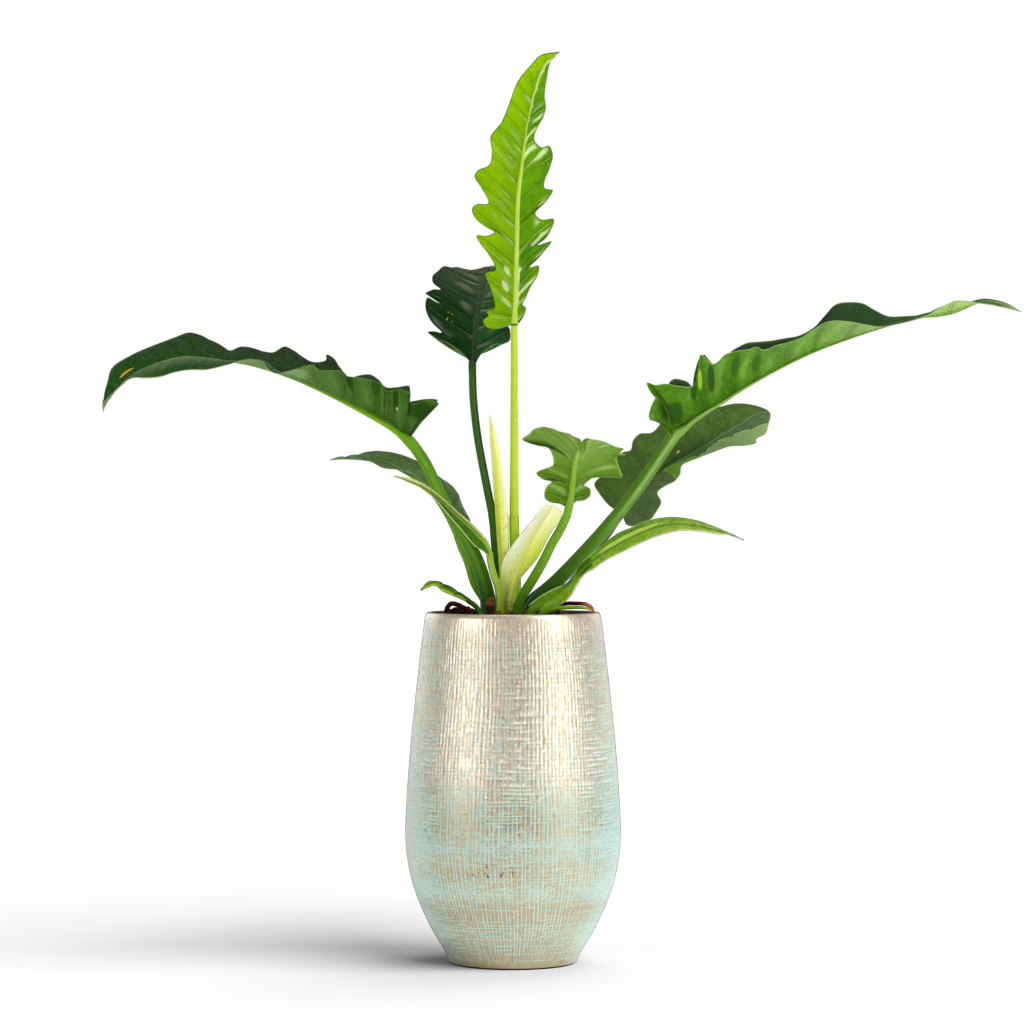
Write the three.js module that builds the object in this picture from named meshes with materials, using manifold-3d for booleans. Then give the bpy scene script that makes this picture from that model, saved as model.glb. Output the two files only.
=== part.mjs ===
// Potted narrow tiger tooth philodendron: a tall tapered pot, its soil, a short crown and the leaves that
// grow from it. Millimetres, +Z up. The origin is the middle of the pot's base, on the surface it stands
// on; the front is -Y.
import * as THREE from "three";
import { mergeVertices } from "three/addons/utils/BufferGeometryUtils.js";
import Module from "manifold-3d";

const wasm = await Module();
wasm.setup();

// Pot
const POT_HEIGHT = 300;
const POT_WALL = 6;
const POT_FLOOR = 9;
const POT_SIDES = 56;
const LIP_ROUND = 2.2;
// Outside of the pot from the base to the lip: [radius, height]
const POT_OUTSIDE = [[54, 0], [58.5, 10], [66, 22], [73.5, 36], [81, 53], [87, 71], [91, 92],
  [92.3, 113], [91.2, 139], [88.4, 180], [84, 224], [79.5, 264], [76, 292]];

// Soil and crown
const GAP = 0.3;
const SOIL_TOP = 294;
const SOIL_SWELL = 1.6;
const SOIL_DROP = 2;
const CROWN_TOP = 297;
const CROWN_BOTTOM = 255;
const CROWN_MIDDLE = [-3, -1];
const CROWN_HALF_WIDTH = 27;
const CROWN_HALF_DEPTH = 25;
const CROWN_SIDES = 28;
const HOLE_RUN_OUT = 10;
const ROOT_HOLE_HEIGHT = 20;
const ROOT_HOLE_SIDES = 16;

// Leaves
const BLADE_THICKNESS = 0.9;
const SIDE_VEIN_SWEEP = 0.45;
const MIDRIB_SAMPLES = 240;
const LEAST_ROW_STEP = 0.9;
const ROW_MERGE = 2.6;
const SMOOTH_REACH = 2;
const TIP_HALF_WIDTH = 0.8;
const LEAST_RIB = 0.7;
const RIB_START = 0.85;
const RIB_TAPER = 0.8;
const RIB_DEPTH_BESIDE = 0.55;
const MOST_RIB_SHARE = 0.4;
const BLADE_CAMBER = 0.07;
const STALK_STEPS_A_POINT = 1.2;
const SHOOT_STEPS_A_POINT = 2;
const STRIP_STEPS_A_POINT = 3;

// The leaves are laid out as they look from the front: each point is [x, z, depth], where x and z are
// measured in the upright plane through the pot's axis, and depth is the true distance behind that plane.
// The eye is this far off.
const EYE_DISTANCE = 2908;
const EYE_HEIGHT = 386;

// The true place of a point of the front view.
function fromFront([x, z, depth]) {
  const scale = (EYE_DISTANCE + depth) / EYE_DISTANCE;
  return new THREE.Vector3(x * scale, depth, EYE_HEIGHT + (z - EYE_HEIGHT) * scale);
}

// Each leaf: its stalk from the crown up, the stalk's radius at its foot and at the blade, its midrib
// from blade base to tip, and both margins from base to tip. Left and right are as seen on the upper
// face, looking towards the tip.
const UPRIGHT_LEAF = {
  stalk: [[1, 297, 0], [2, 324, 0], [1, 379, 0], [1, 440, 0], [1, 495, 0], [1, 545, 0]],
  radii: [5.4, 2.9],
  midrib: [[1, 547, 0], [2, 577, 0], [3, 611, 0], [4, 654, 1], [8, 688, 0], [13, 723, -2],
    [19, 749, -3], [27, 770, -1], [40, 781, 5]],
  left: [[5, 548, 3], [9, 554, 9], [11, 561, 14], [8, 564, 10], [11, 570, 14], [15, 579, 19],
    [21, 589, 25], [22, 597, 27], [14, 596, 17], [21, 603, 24], [27, 610, 31], [33, 618, 34],
    [21, 615, 21], [28, 621, 29], [33, 629, 34], [35, 637, 35], [24, 637, 24], [19, 642, 18],
    [26, 650, 26], [31, 656, 31], [34, 662, 33], [27, 664, 26], [27, 670, 24], [31, 680, 28],
    [34, 692, 30], [31, 700, 26], [24, 699, 19], [18, 706, 12], [21, 716, 14], [26, 725, 16],
    [28, 733, 16], [27, 743, 13], [29, 759, 9], [32, 772, 5]],
  right: [[-3, 546, 2], [-15, 543, 9], [-23, 545, 13], [-26, 550, 14], [-21, 555, 11], [-23, 558, 12],
    [-16, 561, 10], [-16, 566, 10], [-20, 580, 12], [-24, 591, 15], [-15, 594, 9], [-21, 607, 12],
    [-28, 616, 15], [-31, 623, 17], [-22, 623, 13], [-15, 627, 9], [-24, 631, 14], [-33, 639, 18],
    [-35, 646, 19], [-31, 650, 17], [-21, 651, 11], [-27, 664, 14], [-33, 674, 17], [-30, 679, 16],
    [-20, 684, 11], [-18, 695, 9], [-19, 708, 9], [-10, 720, 5], [-4, 734, 3], [4, 755, 0],
    [15, 769, -1], [24, 778, 0]],
};

const BACK_DARK_LEAF = {
  stalk: [[-11, 297, 8], [-12, 332, 9], [-15, 356, 12], [-17, 379, 15], [-22, 405, 19], [-30, 448, 26],
    [-34, 482, 32], [-35, 511, 35]],
  radii: [4, 3.3],
  midrib: [[-35, 513, 36], [-33, 532, 48], [-32, 549, 62], [-29, 565, 78], [-26, 578, 95],
    [-23, 588, 113], [-21, 595, 133], [-19, 597, 155], [-17, 596, 178], [-15, 588, 200], [-14, 573, 222]],
  left: [[-37, 515, 35], [-45, 524, 30], [-59, 533, 26], [-73, 540, 24], [-68, 541, 32],
    [-61, 540, 40], [-69, 548, 40], [-74, 557, 46], [-75, 565, 54], [-73, 570, 60], [-67.5, 567, 62],
    [-61.5, 565, 66], [-61.5, 568.5, 69], [-67, 572.5, 71], [-75, 573.5, 72], [-68, 577, 78],
    [-62, 577, 84], [-68, 582, 88], [-69, 588, 96], [-64, 593, 106], [-58, 597, 118], [-49, 593, 124],
    [-52, 596, 136], [-55, 592, 150], [-44, 592, 156], [-40, 592, 166], [-42, 585, 178],
    [-32, 585, 184], [-27, 582, 200], [-21, 578, 212]],
  right: [[-32, 514, 36], [-27, 522, 34], [-20, 528, 32], [-12, 531, 32], [-4, 532, 34], [-3, 543, 46],
    [-7, 549, 56], [0, 556, 60], [1, 565, 70], [-6, 568, 80], [2, 575, 84], [3, 584, 96],
    [-6, 585, 106], [1, 591, 112], [1, 596, 126], [-9, 596, 134], [-3, 597, 146], [-3, 596, 160],
    [-10, 594, 166], [-7, 589, 180], [-9, 584, 196], [-12, 577, 210]],
};

const LONG_LEFT_LEAF = {
  stalk: [[-21, 297, -1], [-22, 313, -2], [-30, 341, -4], [-38, 358, -6], [-45.5, 371, -7],
    [-60.5, 397, -9], [-76, 429, -10], [-86, 444, -11]],
  radii: [7.2, 4.8],
  midrib: [[-89, 447, -11], [-97, 455, -12], [-107, 462, -14], [-126, 472, -16], [-147, 482, -18],
    [-176, 495, -21], [-205, 506, -24], [-226, 512, -25], [-243, 515, -26], [-264, 518, -27],
    [-282, 519, -27], [-304, 514, -26], [-318, 508, -24], [-330, 500, -21], [-343, 488, -18],
    [-351, 479, -16], [-352, 472, -15]],
  left: [[-88, 451, -15], [-82, 460, -24], [-72, 471, -33], [-64, 479, -40], [-73, 482, -36],
    [-87, 479, -28], [-90, 485, -30], [-88, 488, -36], [-97, 491, -34], [-109, 490, -24],
    [-111, 494, -30], [-118, 498, -36], [-130, 501, -38], [-144, 503, -28], [-147, 507, -36],
    [-166, 508, -38], [-172, 512, -42], [-180, 511, -44], [-189, 508, -42], [-204, 505, -42],
    [-211, 509, -46], [-215, 515, -50], [-224, 517, -51], [-234, 516, -50], [-243, 513, -50],
    [-264, 508, -54], [-276, 508, -54], [-290, 506, -52], [-303, 502, -48], [-314, 501, -44],
    [-326, 501, -36], [-334, 497, -28], [-344, 486, -21], [-350, 477, -17]],
  right: [[-86, 453, -6], [-78, 464, 6], [-70, 475, 16], [-65, 482, 22], [-73, 483, 20], [-93, 481, 8],
    [-90, 488, 14], [-89, 494, 18], [-100, 493, 15], [-109, 493, 9], [-116, 500, 15], [-123, 504, 19],
    [-133, 503, 15], [-140, 501, 6], [-150, 512, 14], [-154, 518, 18], [-160, 521, 20], [-161, 516, 14],
    [-173, 515, 10], [-189, 525, 16], [-196, 528, 18], [-206, 523, 12], [-215, 524, 8], [-233, 528, 13],
    [-245, 524, 10], [-257, 531, 10], [-267, 537, 9], [-278, 540, 8], [-290, 536, 6], [-306, 530, 4],
    [-325, 522, 1], [-344, 510, -4], [-348, 498, -9], [-351, 486, -13]],
};

const BACK_LEFT_LEAF = {
  stalk: [[-19, 297, 14], [-25, 311, 14], [-33, 324, 15], [-39, 343, 17], [-45, 357, 19], [-48, 366, 21]],
  radii: [3.8, 2.9],
  midrib: [[-48, 367, 21], [-57, 386, 26], [-70, 404, 32], [-83, 415, 37], [-95, 422, 41],
    [-107, 428, 45], [-122, 432, 49], [-140, 433, 52], [-157, 431, 54]],
  left: [[-48, 364, 17], [-51, 370, 10], [-59, 383, 5], [-68, 397, 4], [-76, 406, 6], [-83, 414, 10],
    [-88, 420, 14], [-97, 422, 20], [-112, 424, 29], [-122, 429, 38], [-138, 431, 47]],
  right: [[-46, 368, 24], [-40, 373, 34], [-37, 378, 42], [-40, 385, 44], [-44, 393, 44],
    [-46, 399, 38], [-48, 403, 46], [-53, 409, 50], [-63, 416, 52], [-73, 425, 54], [-85, 431, 58],
    [-99, 436, 60], [-111, 438, 62], [-122, 438, 62], [-133, 435, 60], [-144, 433, 57]],
};

const FRONT_LEFT_STRAP = {
  stalk: [[-11, 297, -15.5], [-12.5, 320, -15.5], [-17.5, 335, -16], [-20, 347, -16.5]],
  radii: [4.2, 2.7],
  midrib: [[-20, 350, -16], [-23, 357, -18], [-30, 365, -22], [-40, 375, -27], [-52, 386, -33],
    [-64, 397, -39], [-76, 406, -44], [-89, 413, -48], [-102, 417, -51]],
  left: [[-21, 348, -19], [-25, 352, -24], [-33, 357, -30], [-44, 370, -38], [-57, 385, -44],
    [-69, 399, -48], [-80, 407, -50], [-91, 412, -50]],
  right: [[-19, 353, -12], [-22, 361, -11], [-29, 369, -13], [-38, 378, -17], [-51, 389, -23],
    [-63, 400, -29], [-75, 409, -36], [-88, 415, -44]],
};

const SMALL_LEFT_LEAF = {
  stalk: [[-27, 285, -19], [-27.5, 297, -19], [-32, 305, -19], [-39, 310, -20]],
  radii: [2.4, 1.9],
  midrib: [[-40, 311, -20], [-52, 318, -24], [-63, 323, -28], [-70, 325, -31], [-75, 323, -33],
    [-79, 319, -34]],
  left: [[-40, 309, -23], [-51, 314, -30], [-60, 318, -33], [-67, 323, -34], [-74, 321, -34]],
  right: [[-39, 312, -17], [-49, 318, -16], [-58, 323, -20], [-65, 326, -26], [-73, 326, -31]],
};

const CENTRAL_SHEATH = {
  stalk: [[-9, 297, -4], [-8.5, 303, -4]],
  radii: [2.6, 2],
  midrib: [[-8, 306, -5], [-8, 332, -6], [-10, 367, -7], [-12, 397, -7], [-14, 427, -7], [-17, 448, -6],
    [-20, 469, -5]],
  left: [[-4.5, 310, -5], [-4, 345, -5], [-4, 381, -5], [-7, 407, -5], [-10, 427, -5], [-14, 448, -5]],
  right: [[-12, 310, -4], [-11.5, 332, -4], [-14, 367, -4], [-16, 397, -5], [-18, 427, -5],
    [-19.5, 448, -5]],
};

const CREAM_SHEATH = {
  stalk: [[-4, 297, -10], [-3.5, 303, -10]],
  radii: [2.8, 2.8],
  midrib: [[-3, 306, -10.5], [-1, 319, -12], [7, 340, -14], [18, 365, -15], [27, 379, -16],
    [35, 392, -16]],
  left: [[2, 308, -9], [4, 325, -10], [20, 346, -11], [31, 366, -12], [42, 386, -14]],
  right: [[-8.5, 309, -8.5], [-10.5, 325, -10], [-9, 343, -11], [4, 363, -10], [17, 379, -11], [27, 391, -13]],
};

const FRONT_SMALL_LEAF = {
  stalk: [[3, 297, -19], [7, 312, -21], [15, 325, -24], [25, 342, -29], [33, 358, -34], [41, 372, -40],
    [47, 385, -47]],
  radii: [4.6, 3.4],
  midrib: [[48, 390, -50], [50, 401, -60], [51, 410, -72], [52, 419, -86], [53, 427, -102],
    [55, 436, -120], [58, 442, -140], [59, 446, -156], [60, 441, -168], [59, 431, -176]],
  left: [[50, 391, -52], [54, 395, -54], [61, 396, -56], [66, 400, -60], [66, 406, -66], [61, 409, -72],
    [68, 415, -76], [76, 417, -78], [85, 415, -80], [93, 416, -84], [90, 426, -94], [89, 433, -102],
    [96, 435, -104], [92, 437, -108], [95, 440, -110], [88, 442, -116], [79, 446, -124],
    [71, 448, -136], [65, 448, -152], [63, 440, -170]],
  right: [[46, 390, -50], [40, 393, -50], [33, 394, -52], [28, 397, -56], [27, 402, -62],
    [29, 408, -70], [33, 412, -78], [26, 414, -76], [20, 419, -78], [27, 423, -88], [34, 426, -94],
    [34, 434, -106], [30, 441, -112], [21, 443, -112], [8, 448, -110], [14, 453, -118], [18, 457, -122],
    [27, 459, -128], [37, 456, -136], [46, 453, -146], [53, 448, -158], [56, 441, -170]],
};

const BACK_RIGHT_LEAF = {
  stalk: [[3, 297, 16], [15, 311, 17], [33, 325, 20], [58, 345, 25], [77, 362, 30], [92, 384, 36]],
  radii: [4, 3.2],
  midrib: [[93, 386, 37], [109, 405, 46], [130, 422, 57], [147, 433, 66], [164, 442, 75],
    [179, 452, 84], [195, 461, 93], [209, 470, 101], [220, 472, 106]],
  left: [[89, 387, 38], [82, 392, 42], [74, 402, 46], [70, 410, 50], [78, 419, 56], [84, 428, 61],
    [94, 437, 66], [101, 439, 68], [103, 447, 72], [109, 453, 76], [119, 454, 78], [126, 461, 82],
    [130, 470, 86], [138, 474, 90], [150, 474, 93], [162, 475, 97], [176, 476, 101], [191, 479, 105],
    [205, 478, 108], [215, 475, 110]],
  right: [[95, 383, 34], [97, 376, 28], [103, 374, 24], [113, 378, 20], [118, 380, 16], [122, 385, 16],
    [127, 394, 20], [124, 403, 30], [132, 409, 30], [138, 412, 28], [143, 418, 32], [145, 426, 40],
    [158, 432, 34], [171, 437, 36], [185, 442, 46], [199, 443, 58], [208, 445, 66], [209, 449, 74],
    [216, 453, 80], [219, 461, 90], [221, 469, 100]],
};

const LONG_RIGHT_LEAF = {
  stalk: [[13, 297, 8], [21, 311, 7], [39, 328, 5], [62, 352, 2], [85, 378, -1], [109, 409, -3],
    [126, 434, -4], [136, 449, -5]],
  radii: [6.6, 5.3],
  midrib: [[138, 452, -5], [151, 464, -6], [165, 473, -8], [179, 481, -9], [193, 490, -11],
    [225, 508, -14], [256, 523, -17], [288, 535, -20], [319, 545, -23], [351, 553, -25],
    [365, 554, -26], [378, 556.5, -27], [388, 560.5, -27], [397, 564.5, -28], [409, 566.5, -29],
    [423, 563, -31], [436, 558, -32]],
  left: [[136, 451, 0], [130, 459, 8], [124, 470, 15], [122, 481, 20], [130, 484, 20], [137, 486, 16],
    [133, 494, 20], [138, 500, 24], [149, 498, 20], [154, 494, 10], [156, 506, 14], [160, 518, 20],
    [164, 521, 23], [167, 518, 18], [174, 512, 6], [181, 518, 10], [189, 525, 14], [201, 531, 17],
    [211, 532, 13], [222, 533, 8], [233, 535, 9], [246, 537.5, 10], [259, 545, 10], [268, 555, 10],
    [277, 564, 11], [289, 566, 11], [300, 565, 11], [311, 559, 7], [322, 554, 3], [340, 553.5, -6],
    [354, 555.5, -12], [367, 559.5, -17], [380, 563.5, -19], [391, 566, -21], [401, 568.3, -24],
    [412, 568.3, -27], [425, 564.5, -30]],
  right: [[137, 448, -10], [131, 457, -18], [124, 463, -24], [117, 466, -30], [118, 475, -34],
    [123, 484, -33], [127, 476, -26], [134, 464, -18], [128, 480, -28], [118, 489, -38],
    [115, 497, -42], [122, 495, -40], [131, 496, -38], [142, 494, -34], [154, 494, -26],
    [158, 504, -34], [159, 514, -40], [161, 521, -44], [166, 517, -38], [172, 513, -30],
    [176, 515, -33], [182, 521, -38], [192, 524, -42], [202, 525.5, -44], [209, 527.5, -45],
    [215, 525, -43], [226, 529, -42], [238, 532, -43], [247, 535.5, -46], [257, 542, -50],
    [269, 549, -54], [283, 550, -54], [302, 547, -50], [313, 545, -48], [324, 546, -46],
    [336, 548.5, -44], [347, 551.5, -42], [356, 555, -41], [367, 561.5, -38], [379, 567, -37],
    [391, 567, -36], [401, 565, -36], [412, 563.3, -35], [425, 560.5, -33]],
};

const FRONT_RIGHT_STRAP = {
  stalk: [[14, 297, -16], [15.5, 300, -17]],
  radii: [4.4, 4],
  midrib: [[17, 302, -18], [28, 309, -21], [40, 316, -25], [51, 326, -29], [60, 337, -32],
    [68, 343, -34], [78, 350, -38], [94, 360, -43], [111, 368, -48], [128, 374, -53], [147, 375, -57],
    [165, 372, -60], [179, 369, -62], [198, 362, -64]],
  left: [[13, 306, -17], [24, 314, -18], [35, 320, -20], [46, 325, -23], [52, 332, -26], [57, 340, -28],
    [64, 347, -29], [75, 356, -30], [89, 367, -32], [103, 373, -36], [118, 379, -40], [130, 381, -44],
    [144, 381, -48], [160, 378, -52], [171, 374, -56], [183, 369, -60]],
  right: [[23, 301, -21], [34, 304, -24], [43, 308, -27], [50, 315, -30], [56, 325, -33],
    [61, 332, -36], [69, 337, -40], [77, 343, -47], [94, 352, -54], [113, 361, -60], [129, 367, -64],
    [144, 370, -66], [164, 369, -66], [175, 367, -65], [187, 366, -64]],
};

// Thin shoot at the right: its middle line and its radius at the foot and at the tip
const THIN_SHOOT = [[21, 285, -31], [21.5, 294, -31], [27, 300, -34], [37, 303.2, -35], [50, 304.2, -34],
  [60, 303.8, -32], [64, 303, -31], [67, 301.8, -31]];
const THIN_SHOOT_RADII = [2.8, 0.8];

// Dry bits, each a flat strip: its middle line as seen from the front, the way that its width lies, its
// width and its thickness. The bark stands on the soil with both ends, the strip spans from the soil to
// the lip, and the scale stands on the crown.
const CURLED_BARK = {
  line: [[-58, 294.6, 12], [-57, 303, 10], [-53, 307.5, 8], [-46, 306, 6], [-40, 302.5, 4],
    [-36, 299.6, 3], [-33.5, 296.8, 2]],
  across: [0, 1, 0],
  width: 7,
  thickness: 2.2,
};
const DRY_STRIP = {
  line: [[38, 295.6, -12], [39, 303, -13], [43, 307, -15], [55, 307.6, -20], [63, 306.8, -24],
    [67, 304.2, -25], [69.5, 300.4, -25]],
  across: [0, 1, 0],
  width: 5,
  thickness: 1.8,
};
const DRY_SCALE = {
  line: [[-19.5, 297.2, -17], [-20, 303, -18], [-19.5, 309, -19], [-17.5, 312.5, -21]],
  across: [1, 0, 0],
  width: 7,
  thickness: 1.2,
};

// The corners of a leaf's section, from the right margin over the upper face to the left one and back
// below. Around the stalk a corner stands at this angle, in degrees from the left; on the blade it lies
// on this side, at this share of the half width, above or below.
const SECTION = [
  { angle: 172, side: "right", across: 1, face: 1 },
  { angle: 148, side: "right", across: 0.5, face: 1 },
  { angle: 116, side: "right", across: 0, face: 1 },
  { angle: 64, side: "left", across: 0, face: 1 },
  { angle: 32, side: "left", across: 0.5, face: 1 },
  { angle: 8, side: "left", across: 1, face: 1 },
  { angle: -14, side: "left", across: 1, face: -1 },
  { angle: -38, side: "left", across: 0.5, face: -1 },
  { angle: -64, side: "left", across: 0, face: -1 },
  { angle: -90, side: "rib" },
  { angle: -116, side: "right", across: 0, face: -1 },
  { angle: -142, side: "right", across: 0.5, face: -1 },
  { angle: -166, side: "right", across: 1, face: -1 },
];
const NARROW_SECTION = SECTION.filter((corner) => corner.across !== 0.5);

// A closed solid from rings of equal corner count, each ring joined to the next and both ends capped. The
// second half of the corners, the lower face, is split along the other diagonal, so that both faces of a
// blade have the same triangles.
function loft(rings) {
  const corners = rings[0].length;
  const positions = rings.flat().flatMap((point) => point.toArray());
  const triangles = [];
  for (let row = 0; row + 1 < rings.length; row++) {
    for (let corner = 0; corner < corners; corner++) {
      const next = (corner + 1) % corners;
      const [a, b] = [row * corners + corner, row * corners + next];
      const [c, d] = [a + corners, b + corners];
      if (corner * 2 < corners - 1) triangles.push(a, b, d, a, d, c);
      else triangles.push(a, b, c, b, d, c);
    }
  }
  const last = (rings.length - 1) * corners;
  for (let corner = 1; corner + 1 < corners; corner++) {
    triangles.push(0, corner + 1, corner);
    triangles.push(last, last + corner, last + corner + 1);
  }
  const geometry = new THREE.BufferGeometry();
  geometry.setAttribute("position", new THREE.Float32BufferAttribute(positions, 3));
  geometry.setIndex(triangles);
  return faceOutwards(geometry);
}

// Turns every triangle round if the solid would be inside out.
function faceOutwards(geometry) {
  const position = geometry.getAttribute("position");
  const index = geometry.getIndex();
  const [a, b, c] = [new THREE.Vector3(), new THREE.Vector3(), new THREE.Vector3()];
  let volume = 0;
  for (let i = 0; i < index.count; i += 3) {
    a.fromBufferAttribute(position, index.getX(i));
    b.fromBufferAttribute(position, index.getX(i + 1));
    c.fromBufferAttribute(position, index.getX(i + 2));
    volume += a.dot(b.cross(c));
  }
  if (volume < 0) {
    for (let i = 0; i < index.count; i += 3) {
      const first = index.getX(i);
      index.setX(i, index.getX(i + 2));
      index.setX(i + 2, first);
    }
  }
  return geometry;
}

// Where along the midrib each margin point's side vein starts: its nearest point, set back by the veins'
// sweep.
function veinStarts(edge, midrib, length) {
  const along = midrib.getSpacedPoints(MIDRIB_SAMPLES);
  const starts = edge.map((point) => {
    const distances = along.map((sample) => sample.distanceTo(point));
    const nearest = distances.indexOf(Math.min(...distances));
    return (nearest / MIDRIB_SAMPLES) * length - SIDE_VEIN_SWEEP * distances[nearest];
  });
  for (let i = 0; i < starts.length; i++) {
    const least = i === 0 ? LEAST_ROW_STEP : starts[i - 1] + LEAST_ROW_STEP;
    starts[i] = Math.max(starts[i], least);
  }
  let most = length - LEAST_ROW_STEP;
  for (let i = starts.length - 1; i >= 0; i--) {
    starts[i] = Math.min(starts[i], most);
    most = starts[i] - LEAST_ROW_STEP;
  }
  return starts;
}

// The margin point that belongs to a place along the midrib.
function marginAt(edge, starts, place) {
  if (place <= starts[0]) return edge[0].clone();
  for (let i = 1; i < edge.length; i++) {
    if (place <= starts[i]) {
      const share = (place - starts[i - 1]) / (starts[i] - starts[i - 1]);
      return edge[i - 1].clone().lerp(edge[i], share);
    }
  }
  return edge[edge.length - 1].clone();
}

// Places of the blade's rows along the midrib, one through every margin point; close ones of both sides
// share a row.
function rowPlaces(leftStarts, rightStarts) {
  const rows = [];
  let [l, r] = [0, 0];
  while (l < leftStarts.length || r < rightStarts.length) {
    const left = leftStarts[l] ?? Infinity;
    const right = rightStarts[r] ?? Infinity;
    if (Math.abs(left - right) < ROW_MERGE) {
      rows.push({ place: (left + right) / 2, left: l, right: r });
      l++;
      r++;
    } else if (left < right) {
      rows.push({ place: left, left: l });
      l++;
    } else {
      rows.push({ place: right, right: r });
      r++;
    }
  }
  return rows;
}

// Averages each direction with its neighbours, so that the faces of the blade turn smoothly.
function smoothed(directions) {
  return directions.map((_, i) => {
    const near = directions.slice(Math.max(0, i - SMOOTH_REACH), i + SMOOTH_REACH + 1);
    return near.reduce((sum, direction) => sum.add(direction), new THREE.Vector3()).normalize();
  });
}

// The rows of a blade: where each leaves the midrib, its margin points and the faces' directions on both
// sides.
function bladeRows(leaf) {
  const midrib = new THREE.CatmullRomCurve3(leaf.midrib.map(fromFront), false, "centripetal");
  const length = midrib.getLength();
  const left = leaf.left.map(fromFront);
  const right = leaf.right.map(fromFront);
  const leftStarts = veinStarts(left, midrib, length);
  const rightStarts = veinStarts(right, midrib, length);
  const rows = rowPlaces(leftStarts, rightStarts).map((row) => ({
    share: row.place / length,
    middle: midrib.getPointAt(row.place / length),
    along: midrib.getTangentAt(row.place / length),
    left: row.left === undefined ? marginAt(left, leftStarts, row.place) : left[row.left],
    right: row.right === undefined ? marginAt(right, rightStarts, row.place) : right[row.right],
  }));
  const leftUp = smoothed(rows.map((row) => row.along.clone().cross(row.left.clone().sub(row.middle))));
  const rightUp = smoothed(rows.map((row) => row.right.clone().sub(row.middle).cross(row.along)));
  rows.forEach((row, i) => {
    row.up = { left: leftUp[i], right: rightUp[i] };
    row.upward = leftUp[i].clone().add(rightUp[i]).normalize();
  });
  rows.push(tipRow(rows[rows.length - 1], midrib));
  return rows;
}

// The last row, a small blunt end at the tip.
function tipRow(before, midrib) {
  const middle = midrib.getPointAt(1);
  const along = midrib.getTangentAt(1);
  const sideways = before.upward.clone().cross(along).normalize().multiplyScalar(TIP_HALF_WIDTH);
  return {
    share: 1,
    middle,
    along,
    left: middle.clone().add(sideways),
    right: middle.clone().sub(sideways),
    up: before.up,
    upward: before.upward,
  };
}

// One ring of a blade's section.
function bladeRing(row, ribRadius, section) {
  return section.map((corner) => {
    if (corner.side === "rib") {
      return row.middle.clone().addScaledVector(row.upward, -ribRadius);
    }
    const toEdge = row[corner.side].clone().sub(row.middle);
    const halfWidth = toEdge.length();
    const ribShare = Math.min(ribRadius / halfWidth, MOST_RIB_SHARE);
    const share = corner.across === 0 ? ribShare : corner.across;
    const camber = BLADE_CAMBER * halfWidth * 4 * share * (1 - share);
    const below = corner.across === 0 && corner.face < 0 ? ribRadius * RIB_DEPTH_BESIDE : 0;
    const lift = camber + corner.face * (BLADE_THICKNESS / 2) - below;
    return row.middle.clone().addScaledVector(toEdge, share).addScaledVector(row.up[corner.side], lift);
  });
}

// Rings of a stalk, from its level foot up, turned so that the last one faces as the blade does.
function stalkRings(points, radii, upward, section, steps) {
  const path = new THREE.CatmullRomCurve3(points.map(fromFront), false, "centripetal");
  const footHeight = points[0][1];
  const rings = [];
  let up = upward.clone();
  for (let step = steps; step >= 0; step--) {
    const share = step / steps;
    const centre = path.getPointAt(share);
    const along = path.getTangentAt(share);
    up = up.addScaledVector(along, -up.dot(along)).normalize();
    const sideways = up.clone().cross(along);
    const radius = THREE.MathUtils.lerp(radii[0], radii[1], Math.sqrt(share));
    const ring = section.map((corner) => {
      const angle = THREE.MathUtils.degToRad(corner.angle);
      const point = centre.clone().addScaledVector(sideways, radius * Math.cos(angle));
      point.addScaledVector(up, radius * Math.sin(angle));
      return step === 0 ? point.addScaledVector(along, (footHeight + GAP - point.z) / along.z) : point;
    });
    rings.unshift(ring);
  }
  return rings;
}

// A whole leaf as one solid: stalk, midrib and blade.
function leafGeometry(leaf, section = SECTION) {
  const rows = bladeRows(leaf);
  const steps = Math.max(2, Math.round(leaf.stalk.length * STALK_STEPS_A_POINT));
  const rings = stalkRings(leaf.stalk, leaf.radii, rows[0].upward, section, steps);
  for (const row of rows) {
    const rib = LEAST_RIB + (leaf.radii[1] * RIB_START - LEAST_RIB) * Math.pow(1 - row.share, RIB_TAPER);
    rings.push(bladeRing(row, rib, section));
  }
  return loft(rings);
}

// A solid for cutting, from a geometry whose equal corners are joined.
function solid(geometry) {
  const bare = geometry.clone();
  bare.deleteAttribute("normal");
  bare.deleteAttribute("uv");
  const joined = mergeVertices(bare, 1e-4);
  const mesh = new wasm.Mesh({
    numProp: 3,
    vertProperties: new Float32Array(joined.getAttribute("position").array),
    triVerts: new Uint32Array(joined.getIndex().array),
  });
  return new wasm.Manifold(mesh);
}

// The geometry of a cut solid.
function geometryOf(manifold) {
  const mesh = manifold.getMesh();
  const geometry = new THREE.BufferGeometry();
  geometry.setAttribute("position", new THREE.BufferAttribute(new Float32Array(mesh.vertProperties), 3));
  geometry.setIndex(new THREE.BufferAttribute(new Uint32Array(mesh.triVerts), 1));
  geometry.computeVertexNormals();
  return geometry;
}

// A turned solid round the pot's axis from [radius, height] points.
function turned(profile) {
  const points = profile.map(([radius, height]) => new THREE.Vector2(radius, height));
  return new THREE.LatheGeometry(points, POT_SIDES).rotateX(Math.PI / 2);
}

// Radius of the pot's outside at a height.
function outsideRadius(height) {
  for (let i = 1; i < POT_OUTSIDE.length; i++) {
    const [below, above] = [POT_OUTSIDE[i - 1], POT_OUTSIDE[i]];
    if (height <= above[1]) {
      return THREE.MathUtils.mapLinear(height, below[1], above[1], below[0], above[0]);
    }
  }
  return POT_OUTSIDE[POT_OUTSIDE.length - 1][0];
}

const INSIDE_HEIGHTS = [POT_FLOOR, 22, 36, 53, 71, 92, 113, 139, 180, 224, 264];

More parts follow.
